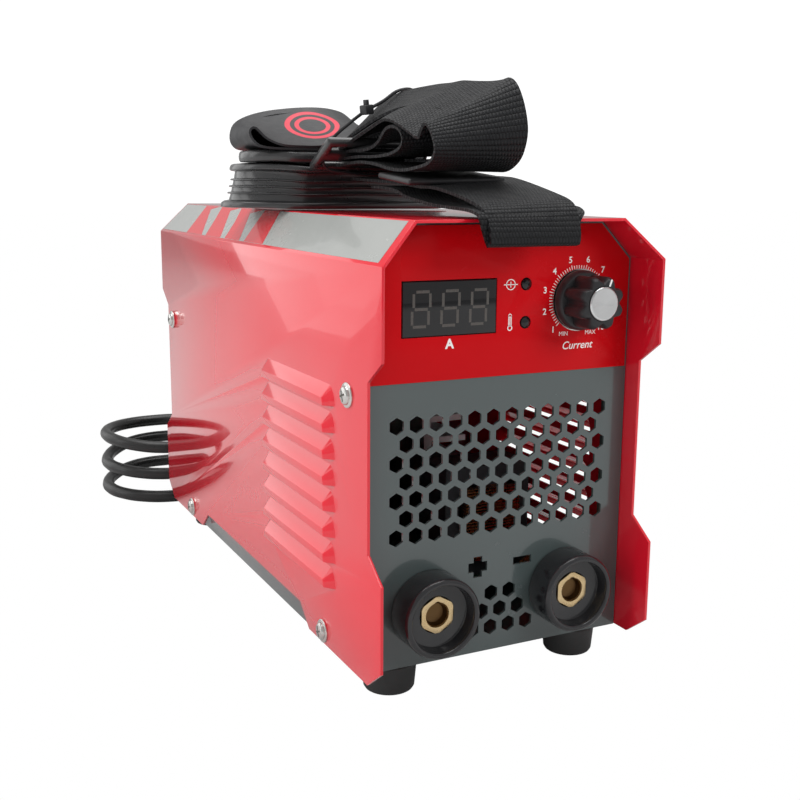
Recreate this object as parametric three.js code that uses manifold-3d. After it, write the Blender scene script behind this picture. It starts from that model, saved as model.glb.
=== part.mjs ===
// Stick welding inverter: a sheet-steel power source with a wrap-over cover, two welding sockets,
// a current knob, a rear fan, a mains lead and a bundled shoulder strap lying on the cover.
// Millimetres, +Z up. The front panel faces -Y and the width runs along X.
import * as THREE from 'three';
import { ConvexGeometry } from 'three/addons/geometries/ConvexGeometry.js';
import { mergeVertices } from 'three/addons/utils/BufferGeometryUtils.js';
import Module from 'manifold-3d';

const wasm = await Module();
wasm.setup();

// ---- Driving dimensions -------------------------------------------------------------------------
const width = 125;
const coverLength = 307;
const coverHeight = 177.5;
const footHeight = 12;
const sheet = 1.2;
const gap = 0.3;
const bevel = 16;
const strapReach = 3;

const half = width / 2;
const floorOfCover = footHeight;
const roof = footHeight + coverHeight;
const inside = half - sheet - gap;
const middle = (coverLength - strapReach) / 2;

// The cover's side outline: the wings stand forward at the top and the bottom.
const topSetback = { front: 6, rear: 3 };
const wingStep = 12;
const wingLevels = [21.1, 55.7, 64.3, 130.7, 139.3];
const sillHeight = 9;
const sill = { front: 72.5, rear: 234.5, slope: 10.5 };

// Panels.
const frontFace = 20.4;
const rearFace = coverLength - 12;
const flangeDepth = 14;
const flangeLevels = [36, 168];
const trayWall = 22;

// Louvres pressed out of both side walls.
const louvre = { count: 8, first: 40.4, pitch: 10.8, height: 8.6, ridge: 3.2, reach: 3.6, from: 42, to: 125 };

// Front panel furniture, x and z of each centre.
const vent = { pitch: 8.6, flats: 6, x: 1, top: 111, rows: 7, longest: 12 };
const lowVent = { x: 1.7, top: 37, rows: 3, shortest: 2 };
const display = { x: -24.2, z: 155.6, wide: 41, high: 21 };
const lamps = [['power_lamp', 163.6], ['heat_lamp', 148.4]];
const lampX = 10;
const lampRadius = 2.3;
const knobAt = { x: 35, z: 156.4 };
const knobSize = { skirt: 11, body: 9.2, length: 16.6, cap: 6.8 };
const labelFoot = 127.6;
const sockets = [['positive', -31.8], ['negative', 32.2]];
const socketZ = 35.2;
const collar = { radius: 16.5, bore: 14, length: 14, recess: 8.4, hole: 12.4 };
const insert = { flats: 14, bore: 4.8, face: 6, tail: 26 };
const signs = { plusX: -9.1, minusX: 12.2, z: 49, arm: 4.4, thick: 2 };

// Rear panel furniture.
const fan = { size: 80, depth: 25, x: 0, z: 104, blade: 36, hub: 17, pitch: 35.75 };
const rocker = { x: 0, z: 163, wide: 28, high: 21 };
const gland = { x: -5, z: 44, length: 35, root: 7.4, tip: 5, flange: 9.5 };

// Mains lead: one loose coil beside the rear corner, one tied coil behind the casing.
const cordRadius = 3.75;
const looseCoil = { x: -50.2, y: 362, radius: 38, height: 47 };
const tiedCoil = { x: 36, y: 352, radius: 38, height: 31.5 };
const plug = { from: 72, y: 390, z: 19.8, boot: 22, grip: 18, head: 20, pins: 19 };

// Strap bundle on the cover.
const webbing = 40;

// ---- Finishes -----------------------------------------------------------------------------------
const finish = (color, roughness, metalness) =>
  new THREE.MeshStandardMaterial({ color, roughness, metalness });
const redPaint = finish(0xc4122a, 0.2, 0.0);
const greyPaint = finish(0x6b7070, 0.35, 0.0);
const labelRed = finish(0xb50f1c, 0.25, 0.0);
const blackPlastic = finish(0x1c1d20, 0.3, 0.0);
const smokedLens = finish(0x16181a, 0.08, 0.0);
const rubber = finish(0x1a1a1b, 0.75, 0.0);
const webbingBlack = finish(0x26272a, 0.9, 0.0);
const steel = finish(0xc9c7c0, 0.3, 1.0);
const brass = finish(0xc79a4b, 0.25, 1.0);
const aluminium = finish(0xd6d8d6, 0.3, 1.0);
const copper = finish(0xb5652f, 0.35, 1.0);
const ferrite = finish(0x34363a, 0.6, 0.0);
const board = finish(0x1f5a35, 0.5, 0.0);

// ---- Shape helpers ------------------------------------------------------------------------------
// An outline in (y, z) drawn out along X, in (x, z) along Y, or in (x, y) along Z.
function prism(axis, outline, from, to, holes = []) {
  const shape = new THREE.Shape(outline.map(([u, v]) => new THREE.Vector2(u, v)));
  for (const hole of holes) {
    shape.holes.push(new THREE.Path(hole.map(([u, v]) => new THREE.Vector2(u, v))));
  }
  const geometry = new THREE.ExtrudeGeometry(shape, { depth: to - from, bevelEnabled: false });
  if (axis === 'x') {
    const [x, y, z] = [new THREE.Vector3(1, 0, 0), new THREE.Vector3(0, 1, 0), new THREE.Vector3(0, 0, 1)];
    geometry.applyMatrix4(new THREE.Matrix4().makeBasis(y, z, x));
    return geometry.translate(from, 0, 0);
  }
  if (axis === 'y') return geometry.rotateX(Math.PI / 2).translate(0, to, 0);
  return geometry.translate(0, 0, from);
}

const box = (x0, x1, y0, y1, z0, z1) =>
  new THREE.BoxGeometry(x1 - x0, y1 - y0, z1 - z0).translate((x0 + x1) / 2, (y0 + y1) / 2, (z0 + z1) / 2);

// Corner points of a regular polygon or circle round (u, v).
function ring(u, v, radius, sides, turn = 0) {
  return Array.from({ length: sides }, (_, i) => {
    const angle = turn + (i / sides) * 2 * Math.PI;
    return [u + radius * Math.cos(angle), v + radius * Math.sin(angle)];
  });
}

// A turned piece from profile points [radius, distance along the axis]; its skin always faces out.
function turned(profile, sides) {
  const twiceArea = profile.reduce((sum, [r, d], i) => {
    const [nextR, nextD] = profile[(i + 1) % profile.length];
    return sum + r * nextD - nextR * d;
  }, 0);
  const points = profile.map(([r, d]) => new THREE.Vector2(r, d));
  return new THREE.LatheGeometry(twiceArea < 0 ? points.reverse() : points, sides);
}

const turnedY = (profile, x, z, sides = 24) => turned(profile, sides).translate(x, 0, z);
const turnedZ = (profile, x, y, sides = 24) => turned(profile, sides).rotateX(Math.PI / 2).translate(x, y, 0);

// On an axis along X, the distance counted outwards from the side wall.
const turnedX = (profile, side, y, z, sides = 16) =>
  turned(profile, sides).rotateZ((-side * Math.PI) / 2).translate(side * half, y, z);

function solid(geometry) {
  const bare = geometry.clone();
  bare.deleteAttribute('normal');
  bare.deleteAttribute('uv');
  const merged = mergeVertices(bare, 1e-4);
  return new wasm.Manifold(new wasm.Mesh({
    numProp: 3,
    vertProperties: new Float32Array(merged.attributes.position.array),
    triVerts: new Uint32Array(merged.index.array),
  }));
}

function geometryOf(manifold) {
  const mesh = manifold.getMesh();
  const geometry = new THREE.BufferGeometry();
  geometry.setAttribute('position', new THREE.BufferAttribute(new Float32Array(mesh.vertProperties), 3));
  geometry.setIndex(new THREE.BufferAttribute(new Uint32Array(mesh.triVerts), 1));
  geometry.computeVertexNormals();
  return geometry;
}

// Joins and cuts closed pieces.
const join = (...pieces) =>
  geometryOf(pieces.map(solid).reduce((whole, piece) => whole.add(piece)));
const cut = (piece, ...tools) =>
  geometryOf(tools.map(solid).reduce((whole, tool) => whole.subtract(tool), solid(piece)));
const overlapOf = (a, b) => geometryOf(solid(a).intersect(solid(b)));

const machine = new THREE.Group();

function part(name, geometry, material) {
  const mesh = new THREE.Mesh(geometry, material);
  mesh.name = name;
  machine.add(mesh);
}

// The casing's cross-section, pulled in by an inset: a rectangle with bevelled top corners.
function casingOutline(inset, bottom) {
  const side = half - inset;
  const high = roof - inset;
  const corner = bevel - inset * (2 - Math.SQRT2);
  return [[-side, bottom], [side, bottom], [side, high - corner], [side - corner, high],
    [corner - side, high], [-side, high - corner]];
}

// ---- Casing -------------------------------------------------------------------------------------
function coverShell() {
  const outer = prism('y', casingOutline(0, floorOfCover - 1), 0, coverLength);
  const core = prism('y', casingOutline(sheet, floorOfCover - 2), -1, coverLength + 1);
  const [clip, low, lowIn, highIn, high] = wingLevels;
  const back = coverLength;
  const sideView = prism('x', [
    [wingStep, floorOfCover], [sill.front, floorOfCover], [sill.front + sill.slope, floorOfCover + sillHeight],
    [sill.rear - sill.slope, floorOfCover + sillHeight], [sill.rear, floorOfCover],
    [back - wingStep, floorOfCover], [back, clip], [back, low], [back - wingStep, lowIn],
    [back - wingStep, highIn], [back, high], [back, roof - bevel], [back - topSetback.rear, roof],
    [topSetback.front, roof], [0, roof - bevel], [0, high], [wingStep, highIn], [wingStep, lowIn],
    [0, low], [0, clip],
  ], -half - 1, half + 1);
  let shell = solid(cut(outer, core)).intersect(solid(sideView));
  for (const side of [-1, 1]) {
    for (let i = 0; i < louvre.count; i += 1) {
      const bottom = louvre.first + i * louvre.pitch;
      const [hood, throat] = louvreShapes(side, bottom);
      shell = shell.add(solid(hood)).subtract(solid(throat));
    }
  }
  return geometryOf(shell);
}

// A pressed hood with sloping ends, from where it leaves the wall out to its ridge and lip.
function hood(side, wall, inset, bottom, drop) {
  const lip = half + louvre.reach - inset;
  const crown = bottom + louvre.height - 1.2 * inset;
  const ridge = bottom + louvre.ridge - 0.4 * inset;
  const corners = [[louvre.from + inset, 1], [louvre.to - inset, -1]].flatMap(([end, inward]) => [
    [wall, end, bottom - drop], [wall, end + inward * 0.8, ridge + 0.6],
    [wall, end + inward * 2.8, crown - 1.4], [wall, end + inward * 5.2, crown],
    [lip, end + inward * 5, bottom - drop], [lip, end + inward * 6, ridge],
  ]);
  return new ConvexGeometry(corners.map(([x, y, z]) => new THREE.Vector3(side * x, y, z)));
}

// The hood itself, and the space under it that goes through the wall.
const louvreShapes = (side, bottom) => [
  hood(side, half - 0.4, 0, bottom, 0),
  hood(side, half - sheet - 0.5, 1, bottom, 0.5),
];

function ventHoles(field, radius, longestRow) {
  const holes = [];
  for (let row = 0; row < field.rows; row += 1) {
    const count = longestRow(row);
    for (let i = 0; i < count; i += 1) {
      const x = field.x + (i - (count - 1) / 2) * vent.pitch;
      const z = field.top - row * vent.pitch * Math.sqrt(0.75);
      holes.push(ring(x, z, radius, 6, Math.PI / 6));
    }
  }
  return holes;
}

// Rounded plus and minus cut-outs that name the socket poles.
function signHoles() {
  const { plusX, minusX, z, arm, thick } = signs;
  const t = thick;
  const plus = [[t, arm], [-t, arm], [-t, t], [-arm, t], [-arm, -t], [-t, -t], [-t, -arm], [t, -arm],
    [t, -t], [arm, -t], [arm, t], [t, t]];
  const minus = [[arm, 1.6], [-arm, 1.6], [-arm, -1.6], [arm, -1.6]];
  return [plus.map(([x, y]) => [plusX + x, z + y]), minus.map(([x, y]) => [minusX + x, z + y])];
}

const displayCut = (grow) => {
  const wide = display.wide / 2 + grow;
  const high = display.high / 2 + grow;
  return [[display.x - wide, display.z - high], [display.x + wide, display.z - high],
    [display.x + wide, display.z + high], [display.x - wide, display.z + high]];
};

const frontHoles = () => [
  ...lamps.map(([, z]) => ring(lampX, z, lampRadius + gap, 12)),
  ring(knobAt.x, knobAt.z, 4, 16),
  displayCut(gap),
];

// A folded panel: a flat face and two side flanges that run inwards from it.
function foldedPanel(face, inwards, holes) {
  const back = face + inwards * sheet;
  const end = face + inwards * flangeDepth;
  const [near, far] = [Math.min(face, back), Math.max(face, back)];
  const outline = casingOutline(sheet + gap, footHeight);
  const plate = prism('y', outline, near, far, holes);
  const flanges = [-1, 1].map((side) => {
    const [a, b] = [side * inside, side * (inside - sheet)].sort((p, q) => p - q);
    return box(a, b, Math.min(face, end), Math.max(face, end), ...flangeLevels);
  });
  return join(plate, ...flanges);
}

const frontPanelHoles = [
  ...ventHoles(vent, vent.flats / Math.sqrt(3), (row) => vent.longest - (row % 2)),
  ...ventHoles(lowVent, vent.flats / Math.sqrt(3), (row) => lowVent.shortest + row),
  ...signHoles(),
  ...sockets.map(([, x]) => ring(x, socketZ, collar.hole + gap, 32)),
  ...frontHoles(),
];

// Stamped fan grille: rings of arc slots in the sheet.
function arcSlot(radius, wide, from, to, steps) {
  const arc = (r, a, b) => Array.from({ length: steps + 1 }, (_, i) => {
    const angle = a + ((b - a) * i) / steps;
    return [fan.x + r * Math.cos(angle), fan.z + r * Math.sin(angle)];
  });
  return [...arc(radius + wide / 2, from, to), ...arc(radius - wide / 2, to, from)];
}

function grilleSlots() {
  const slots = [];
  for (const [radius, count] of [[13, 3], [21, 4], [29, 6], [36, 8]]) {
    for (let i = 0; i < count; i += 1) {
      const step = (2 * Math.PI) / count;
      const web = 3.2 / radius;
      slots.push(arcSlot(radius, 5, i * step + web / 2, (i + 1) * step - web / 2, Math.ceil(18 / count)));
    }
  }
  return slots;
}

const rockerCut = [[-rocker.wide / 2, -rocker.high / 2], [rocker.wide / 2, -rocker.high / 2],
  [rocker.wide / 2, rocker.high / 2], [-rocker.wide / 2, rocker.high / 2]]
  .map(([x, z]) => [rocker.x + x, rocker.z + z]);

const rearPanelHoles = [
  ...grilleSlots(),
  rockerCut,
  ring(gland.x, gland.z, 7, 16),
  ...[-1, 1].flatMap((i) => [-1, 1].map((j) =>
    ring(fan.x + i * fan.pitch, fan.z + j * fan.pitch, 2.2, 8))),
];

function trayShell() {
  const back = rearFace - sheet - gap;
  const front = frontFace + sheet + gap;
  const low = footHeight + gap;
  return join(
    box(-inside, inside, front, back, low, low + sheet),
    box(-inside, sheet - inside, front, back, low, low + trayWall),
    box(inside - sheet, inside, front, back, low, low + trayWall),
  );
}

part('cover', coverShell(), redPaint);
part('front_panel', foldedPanel(frontFace, 1, frontPanelHoles), greyPaint);
part('rear_panel', foldedPanel(rearFace, -1, rearPanelHoles), greyPaint);
part('base_tray', trayShell(), greyPaint);

// Red control label on the upper part of the front panel.
const labelInset = sheet + gap + 1;
const labelOutline = casingOutline(labelInset, labelFoot);
part('control_label', prism('y', labelOutline, frontFace - 0.6, frontFace - 0.2, frontHoles()), labelRed);

// ---- Fasteners of the cover: a washer-head screw at each corner of both walls ----------------------
const screwPlaces = [['front_top', 30, 122.9], ['front_low', 56.1, 17.6],
  ['rear_top', 285.4, 122.9], ['rear_low', 254.1, 17.6]];
for (const [side, hand] of [[-1, 'left'], [1, 'right']]) {
  for (const [place, y, z] of screwPlaces) {
    const head = [[0, 0.2], [5, 0.2], [5, 0.9], [3.9, 1.1], [3.3, 2.1], [1.6, 2.6], [0, 2.6]];
    part(`cover_screw_${hand}_${place}`, turnedX(head, side, y, z), steel);
  }
}

// ---- Feet -----------------------------------------------------------------------------------------
const footX = 44;
const footY = [31, 276];
for (const [x, hand] of [[-footX, 'left'], [footX, 'right']]) {
  for (const [y, end] of [[footY[0], 'front'], [footY[1], 'rear']]) {
    const foot = [[0, 6], [4.6, 6], [4.6, 0], [9.6, 0], [10.4, 1.2], [11.4, footHeight], [0, footHeight]];
    part(`foot_${end}_${hand}`, turnedZ(foot, x, y, 20), rubber);
    const screw = [[0, 2.4], [3.9, 2.4], [3.9, 4.6], [3.4, 5.7], [0, 5.7]];
    part(`foot_screw_${end}_${hand}`, turnedZ(screw, x, y, 16), steel);
  }
}

// ---- Front panel furniture -------------------------------------------------------------------------
const displayFace = frontFace - 0.9;
part('display_window', box(display.x - display.wide / 2, display.x + display.wide / 2,
  displayFace, displayFace + 3, display.z - display.high / 2, display.z + display.high / 2), smokedLens);
part('display_module', box(display.x - 19, display.x + 19, displayFace + 3.3, displayFace + 10.5,
  display.z - 9.3, display.z + 9.3), blackPlastic);
for (const [name, z] of lamps) {
  const lens = [[0, 19], [1.3, 19.2], [2, 19.7], [lampRadius, 20.4], [lampRadius, 26], [0, 26]];
  part(name, turnedY(lens, lampX, z, 16), smokedLens);
}
part('control_board', cut(box(-50, 50, 31.4, 33, 132, 172),
  turnedY([[0, 31], [4.2, 31], [4.2, 34], [0, 34]], knobAt.x, knobAt.z, 16)), board);

// Potentiometer behind the panel, its nut in front, and the shaft that the knob turns.
const { x: kx, z: kz } = knobAt;
part('potentiometer', turnedY([[3.3, 17.2], [3.7, 17.2], [3.7, 22.2], [8.4, 22.2], [8.4, 31],
  [3.3, 31]].concat([[3.3, 17.2]]), kx, kz, 24), steel);
part('potentiometer_nut', prism('y', ring(kx, kz, 6.2, 6), 18.2, 19.5, [ring(kx, kz, 4, 16)]), steel);
part('knob_shaft', turnedY([[0, 8.6], [3, 8.6], [3, 30.6], [0, 30.6]], kx, kz, 16), steel);

function knobBody() {
  const face = frontFace - knobSize.length - 1.6;
  const flutes = 9;
  const steps = 54;
  const outline = Array.from({ length: steps }, (_, i) => {
    const angle = (i / steps) * 2 * Math.PI;
    const wave = Math.max(0, Math.cos(flutes * angle)) ** 1.4;
    const r = knobSize.body - 1.3 * wave;
    return [kx + r * Math.cos(angle), kz + r * Math.sin(angle)];
  });
  const body = prism('y', outline, face, 14.6);
  const skirt = turnedY([[0, 14], [9.4, 14], [10.4, 14.8], [knobSize.skirt, 17], [knobSize.skirt, 17.6],
    [0, 17.6]], kx, kz, 36);
  const hollow = turnedY([[0, 8.3], [3.3, 8.3], [3.3, 16], [7, 16], [7, 18], [0, 18]], kx, kz, 24);
  const seat = turnedY([[0, face - 1], [knobSize.cap + gap, face - 1], [knobSize.cap + gap, face + 1.1],
    [0, face + 1.1]], kx, kz, 32);
  return cut(join(body, skirt), hollow, seat);
}
part('knob', knobBody(), blackPlastic);
const capFace = frontFace - knobSize.length - 2.1;
part('knob_cap', turnedY([[0, capFace], [knobSize.cap - 0.5, capFace], [knobSize.cap, capFace + 0.4],
  [knobSize.cap, capFace + 1.3], [0, capFace + 1.3]], kx, kz, 32), aluminium);

// ---- Welding sockets ---------------------------------------------------------------------------------
for (const [pole, x] of sockets) {
  const face = frontFace - collar.length;
  const behind = frontFace + sheet;
  part(`socket_collar_${pole}`, turnedY([
    [collar.bore, face], [collar.radius - 0.6, face], [collar.radius, face + 0.7],
    [collar.radius, frontFace - gap], [collar.hole, frontFace - gap], [collar.hole, behind + 8],
    [9.1, behind + 8], [9.1, face + collar.recess], [collar.bore - 0.6, face + collar.recess],
    [collar.bore, face],
  ], x, socketZ, 32), blackPlastic);
  const hexRadius = insert.flats / Math.sqrt(3);
  const bar = prism('y', ring(x, socketZ, hexRadius, 6, Math.PI / 6), face + insert.face, behind + insert.tail);
  const round = turnedY([[0, 0], [7.75, 0], [7.75, 60], [0, 60]], x, socketZ, 24);
  const bore = turnedY([[0, 0], [insert.bore, 0], [insert.bore, face + 30], [0, face + 30]], x, socketZ, 20);
  const keyway = box(x - 1.5, x + 1.5, 0, face + 24, socketZ, socketZ + insert.bore + 1.4);
  part(`socket_insert_${pole}`, cut(overlapOf(bar, round), bore, keyway), brass);
  const nut = prism('y', ring(x, socketZ, 13.5, 6, Math.PI / 6), behind + 8.4, behind + 14,
    [ring(x, socketZ, 8.5, 20)]);
  part(`socket_nut_${pole}`, nut, brass);
}

// ---- Rear panel furniture ------------------------------------------------------------------------------
const fanBack = rearFace - sheet - gap;
const fanFront = fanBack - fan.depth;

function fanFrame() {
  const s = fan.size / 2;
  const outline = [[-s, -s], [s, -s], [s, s], [-s, s]].map(([x, z]) => [fan.x + x, fan.z + z]);
  const bolts = [-1, 1].flatMap((i) => [-1, 1].map((j) =>
    ring(fan.x + i * fan.pitch, fan.z + j * fan.pitch, 2.2, 8)));
  const body = prism('y', outline, fanFront, fanBack, [ring(fan.x, fan.z, 38, 40), ...bolts]);
  const motorPlate = turnedY([[0, fanFront], [16, fanFront], [16, fanFront + 2.4], [0, fanFront + 2.4]],
    fan.x, fan.z, 24);
  const struts = [0, 1].map((i) => box(-38.6, 38.6, fanFront, fanFront + 2.4, -2, 2)
    .rotateY(Math.PI / 4 + (i * Math.PI) / 2).translate(fan.x, 0, fan.z));
  return join(body, motorPlate, ...struts);
}

function fanRotor() {
  const hub = turnedY([[0, fanFront + 3], [fan.hub, fanFront + 3], [fan.hub, fanBack - 2], [0, fanBack - 2]],
    fan.x, fan.z, 28);
  const blades = Array.from({ length: 7 }, (_, i) =>
    new THREE.BoxGeometry(fan.blade - fan.hub + 3, 1.6, 20).rotateX(-0.65)
      .translate((fan.blade + fan.hub - 3) / 2, (fanFront + fanBack) / 2 + 0.5, 0)
      .rotateY((i / 7) * 2 * Math.PI).translate(fan.x, 0, fan.z));
  return join(hub, ...blades);
}

part('fan_frame', fanFrame(), blackPlastic);
part('fan_rotor', fanRotor(), blackPlastic);

// Power switch: a bezel and body through the panel, with a rocker that tips on a pin along X.
const bezel = { wide: 16, high: 12.6, deep: 2 };
part('switch_body', cut(join(
  box(rocker.x - bezel.wide, rocker.x + bezel.wide, rearFace + gap, rearFace + gap + bezel.deep,
    rocker.z - bezel.high, rocker.z + bezel.high),
  box(rocker.x - rocker.wide / 2 + gap, rocker.x + rocker.wide / 2 - gap, 270, rearFace + gap + 0.5,
    rocker.z - rocker.high / 2 + gap, rocker.z + rocker.high / 2 - gap),
), box(rocker.x - 11, rocker.x + 11, 283, rearFace + 5, rocker.z - 9, rocker.z + 9)), blackPlastic);
const rockerPivot = [rearFace - 2.5, rocker.z];
part('power_rocker', prism('x', [[-7, -4.5], [0, -7.6], [5.4, -7.2], [3.2, 0], [4, 7.2], [0, 7.6], [-7, 4.5]]
  .map(([y, z]) => [rockerPivot[0] + y, rockerPivot[1] + z]), rocker.x - 10.4, rocker.x + 10.4), blackPlastic);

part('cord_gland', turnedY([[0, rearFace - 5], [8.4, rearFace - 5], [8.4, rearFace - sheet - gap],
  [6.6, rearFace - sheet - gap], [6.6, rearFace + gap], [gland.flange, rearFace + gap],
  [gland.flange, rearFace + 3], [gland.root, rearFace + 4], [gland.tip, rearFace + gland.length],
  [0, rearFace + gland.length]], gland.x, gland.z, 20), rubber);

// ---- Mains lead ------------------------------------------------------------------------------------------
function tube(points, radius, sides, steps) {
  const path = new THREE.CatmullRomCurve3(points.map((p) => new THREE.Vector3(...p)));
  const section = new THREE.Shape(ring(0, 0, radius, sides).map(([u, v]) => new THREE.Vector2(u, v)));
  return new THREE.ExtrudeGeometry(section, { steps, bevelEnabled: false, extrudePath: path });
}

const leadStart = rearFace + gland.length + gap;
part('mains_cord', tube([[gland.x, leadStart, gland.z], [gland.x, leadStart + 4, gland.z],
  [gland.x - 0.6, leadStart + 8, gland.z - 0.4], [gland.x - 1.6, leadStart + 12, gland.z - 0.9]],
cordRadius, 10, 3), rubber);

for (const [name, coil] of [['cord_coil_loose', looseCoil], ['cord_coil_tied', tiedCoil]]) {
  const [inner, outer] = [coil.radius - cordRadius, coil.radius + cordRadius];
  part(name, turnedZ([[inner, 0], [outer, 0], [outer, coil.height], [inner, coil.height], [inner, 0]],
    coil.x, coil.y, 36), rubber);
}

// The end of the cord comes off the top of the tied coil and goes down into the plug.
const tailStart = tiedCoil.x + 24.8;
part('mains_cord_end', tube([[tailStart, plug.y, plug.z + 3.2], [tailStart + 4, plug.y, plug.z + 1.6],
  [plug.from - 4, plug.y, plug.z + 0.1], [plug.from - gap, plug.y, plug.z]], cordRadius, 10, 3), rubber);

// Moulded earthed plug lying on its rim with its two pins towards +X.
function plugShape() {
  const grip = plug.boot + plug.grip;
  const face = grip + plug.head;
  const tip = face + plug.pins;
  const along = (profile, y, sides) =>
    turned(profile, sides).rotateZ(-Math.PI / 2).translate(plug.from, y, plug.z);
  const body = along([[0, 0], [5.2, 0], [7.2, plug.boot - 4], [12, plug.boot], [15, grip - 6],
    [19.5, grip], [19.5, face], [0, face]], plug.y, 28);
  const pins = [-9.5, 9.5].map((aside) => along([[0, face - 2], [2.4, face - 2], [2.4, tip - 1],
    [1.4, tip], [0, tip]], plug.y + aside, 12));
  return join(body, ...pins);
}
part('mains_plug', plugShape(), rubber);

// ---- Inside -----------------------------------------------------------------------------------------------
const trayTop = footHeight + gap + sheet;
part('main_board', box(-54, 54, 62, 236, trayTop + 8, trayTop + 9.8), board);
const onBoard = trayTop + 9.8 + gap;

// Finned heat sink: a comb section drawn out along Y.
function heatSink(x, direction, from, to) {
  const teeth = 7;
  const outline = [[0, 0], [0, 74]];
  for (let i = 0; i < teeth; i += 1) {
    const z = 74 - i * 11;
    outline.push([24, z], [24, z - 3], [4, z - 3]);
    if (i < teeth - 1) outline.push([4, z - 11]);
  }
  outline.push([4, 0]);
  return prism('y', outline.map(([u, v]) => [x + direction * u, onBoard + v]), from, to);
}
part('heat_sink_left', heatSink(-24, -1, 74, 150), aluminium);
part('heat_sink_right', heatSink(24, 1, 132, 208), aluminium);
const coreX = 26;
const coreY = 84;
part('transformer_core', cut(box(coreX - 22, coreX + 22, coreY - 12, coreY + 12, onBoard, onBoard + 52),
  box(coreX - 15, coreX - 6, coreY - 13, coreY + 13, onBoard + 8, onBoard + 44),
  box(coreX + 6, coreX + 15, coreY - 13, coreY + 13, onBoard + 8, onBoard + 44)), ferrite);
const windingOutline = [[-14, -17], [14, -17], [14, 17], [-14, 17]].map(([x, y]) => [coreX + x, coreY + y]);
const windingHole = [[-6.4, -12.4], [6.4, -12.4], [6.4, 12.4], [-6.4, 12.4]]
  .map(([x, y]) => [coreX + x, coreY + y]);
part('transformer_winding', prism('z', windingOutline, onBoard + 9, onBoard + 43, [windingHole]), copper);
for (const [i, x] of [-12, 16].entries()) {
  part(`capacitor_${i + 1}`, turnedZ([[0, onBoard], [12.5, onBoard], [12.5, onBoard + 48],
    [0, onBoard + 48]], x - 18, 186 + i * 20, 20), blackPlastic);
}

// ---- Strap bundle on the cover ------------------------------------------------------------------
const onRoof = roof + gap;
const pad = { x: -9.5, y: 158, long: 110, deep: 58, high: 22 };

// A moulded shoulder pad with round ends.
function stadium(long, deep, steps) {
  const r = deep / 2;
  const end = long / 2 - r;
  const turns = Array.from({ length: steps + 1 }, (_, i) => (i / steps - 0.5) * Math.PI);
  return [1, -1].flatMap((side) => turns.map((t) =>
    [pad.x + side * (end + r * Math.cos(t)), pad.y + side * r * Math.sin(t)]));
}
part('shoulder_pad', prism('z', stadium(pad.long, pad.deep, 8), onRoof, onRoof + pad.high), rubber);

const padTop = onRoof + pad.high + gap;
part('strap_loop', prism('y', [[-56, padTop], [30, padTop], [30, padTop + 12], [-20, padTop + 19],
  [-52, padTop + 12], [-58, padTop + 5]], 136, 136 + webbing), webbingBlack);

// The folded bundle, seen from the side: thin at the tied rear end, a round bight at the front.
const bightX = [-30, -30 + webbing];
const bundleSide = [[128, 214.5], [128, 221], [96, 236], [60, 247], [40, 247.5], [29, 243], [23, 233], [22, 222],
  [27, 211], [40, 205.5], [70, 205.5]];
part('strap_bundle', prism('x', bundleSide, bightX[0], bightX[1]), webbingBlack);

// The loose tail runs forward under the bundle and hangs over the front edge of the cover.
const tailSide = [[122, 198], [70, 197], [40, 196.4], [14, 193.6], [6, 193], [1.6, 191.2], [-1.4, 187],
  [-3, 181.5], [-3, 180.5], [-0.4, 180.5], [1, 186], [3.6, 189.8], [8, 190.6], [15, 191], [40, 193.8],
  [70, 194.4], [122, 195.4]];
part('strap_tail', prism('x', tailSide, -20, -20 + webbing), webbingBlack);

// Three-bar slide buckle at the thin end of the bundle.
part('strap_buckle', prism('z', [[-34, 0], [14, 0], [14, 26], [-34, 26]].map(([x, y]) => [x, y + 76]),
  199, 202.6, [
    [[-30, 80], [10, 80], [10, 87], [-30, 87]],
    [[-30, 91], [10, 91], [10, 98], [-30, 98]],
  ]), blackPlastic);

// A thin tie round the narrow end of the bundle, its head standing off on the tail.
function zipTie() {
  const rectangle = (side, low, high) => [[-side, low], [side, low], [side, high], [-side, high]]
    .map(([x, z]) => [x + bightX[0] + webbing / 2, z]);
  const band = prism('y', rectangle(22, 211.4, 227.6), 118, 120.6, [rectangle(20.5, 212.6, 226.2)]);
  const tail = prism('x', [[118.2, 227], [120.4, 227], [108.6, 234.6], [107, 234.6]], -22.6, -21);
  const head = box(-24, -19.6, 105.6, 110, 233, 237);
  return join(band, tail, head);
}
part('zip_tie', zipTie(), blackPlastic);

// ---- The whole machine stands with the middle of its footprint at the origin --------------------
const inverter = new THREE.Group();
machine.position.set(0, -middle, 0);
inverter.add(machine);

export default inverter;
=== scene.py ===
# %% [markdown]
# # A stick welding inverter, cell by cell
# The imported model is a fixed frame: every plate, socket and hinge already has its size and place.
# Here each part gets its real surface, and the soft parts, the strap and the mains lead, get their
# real shape. The frame is loaded first.

# %% Load the frame
import bpy, math
from mathutils import Matrix, Vector


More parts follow.
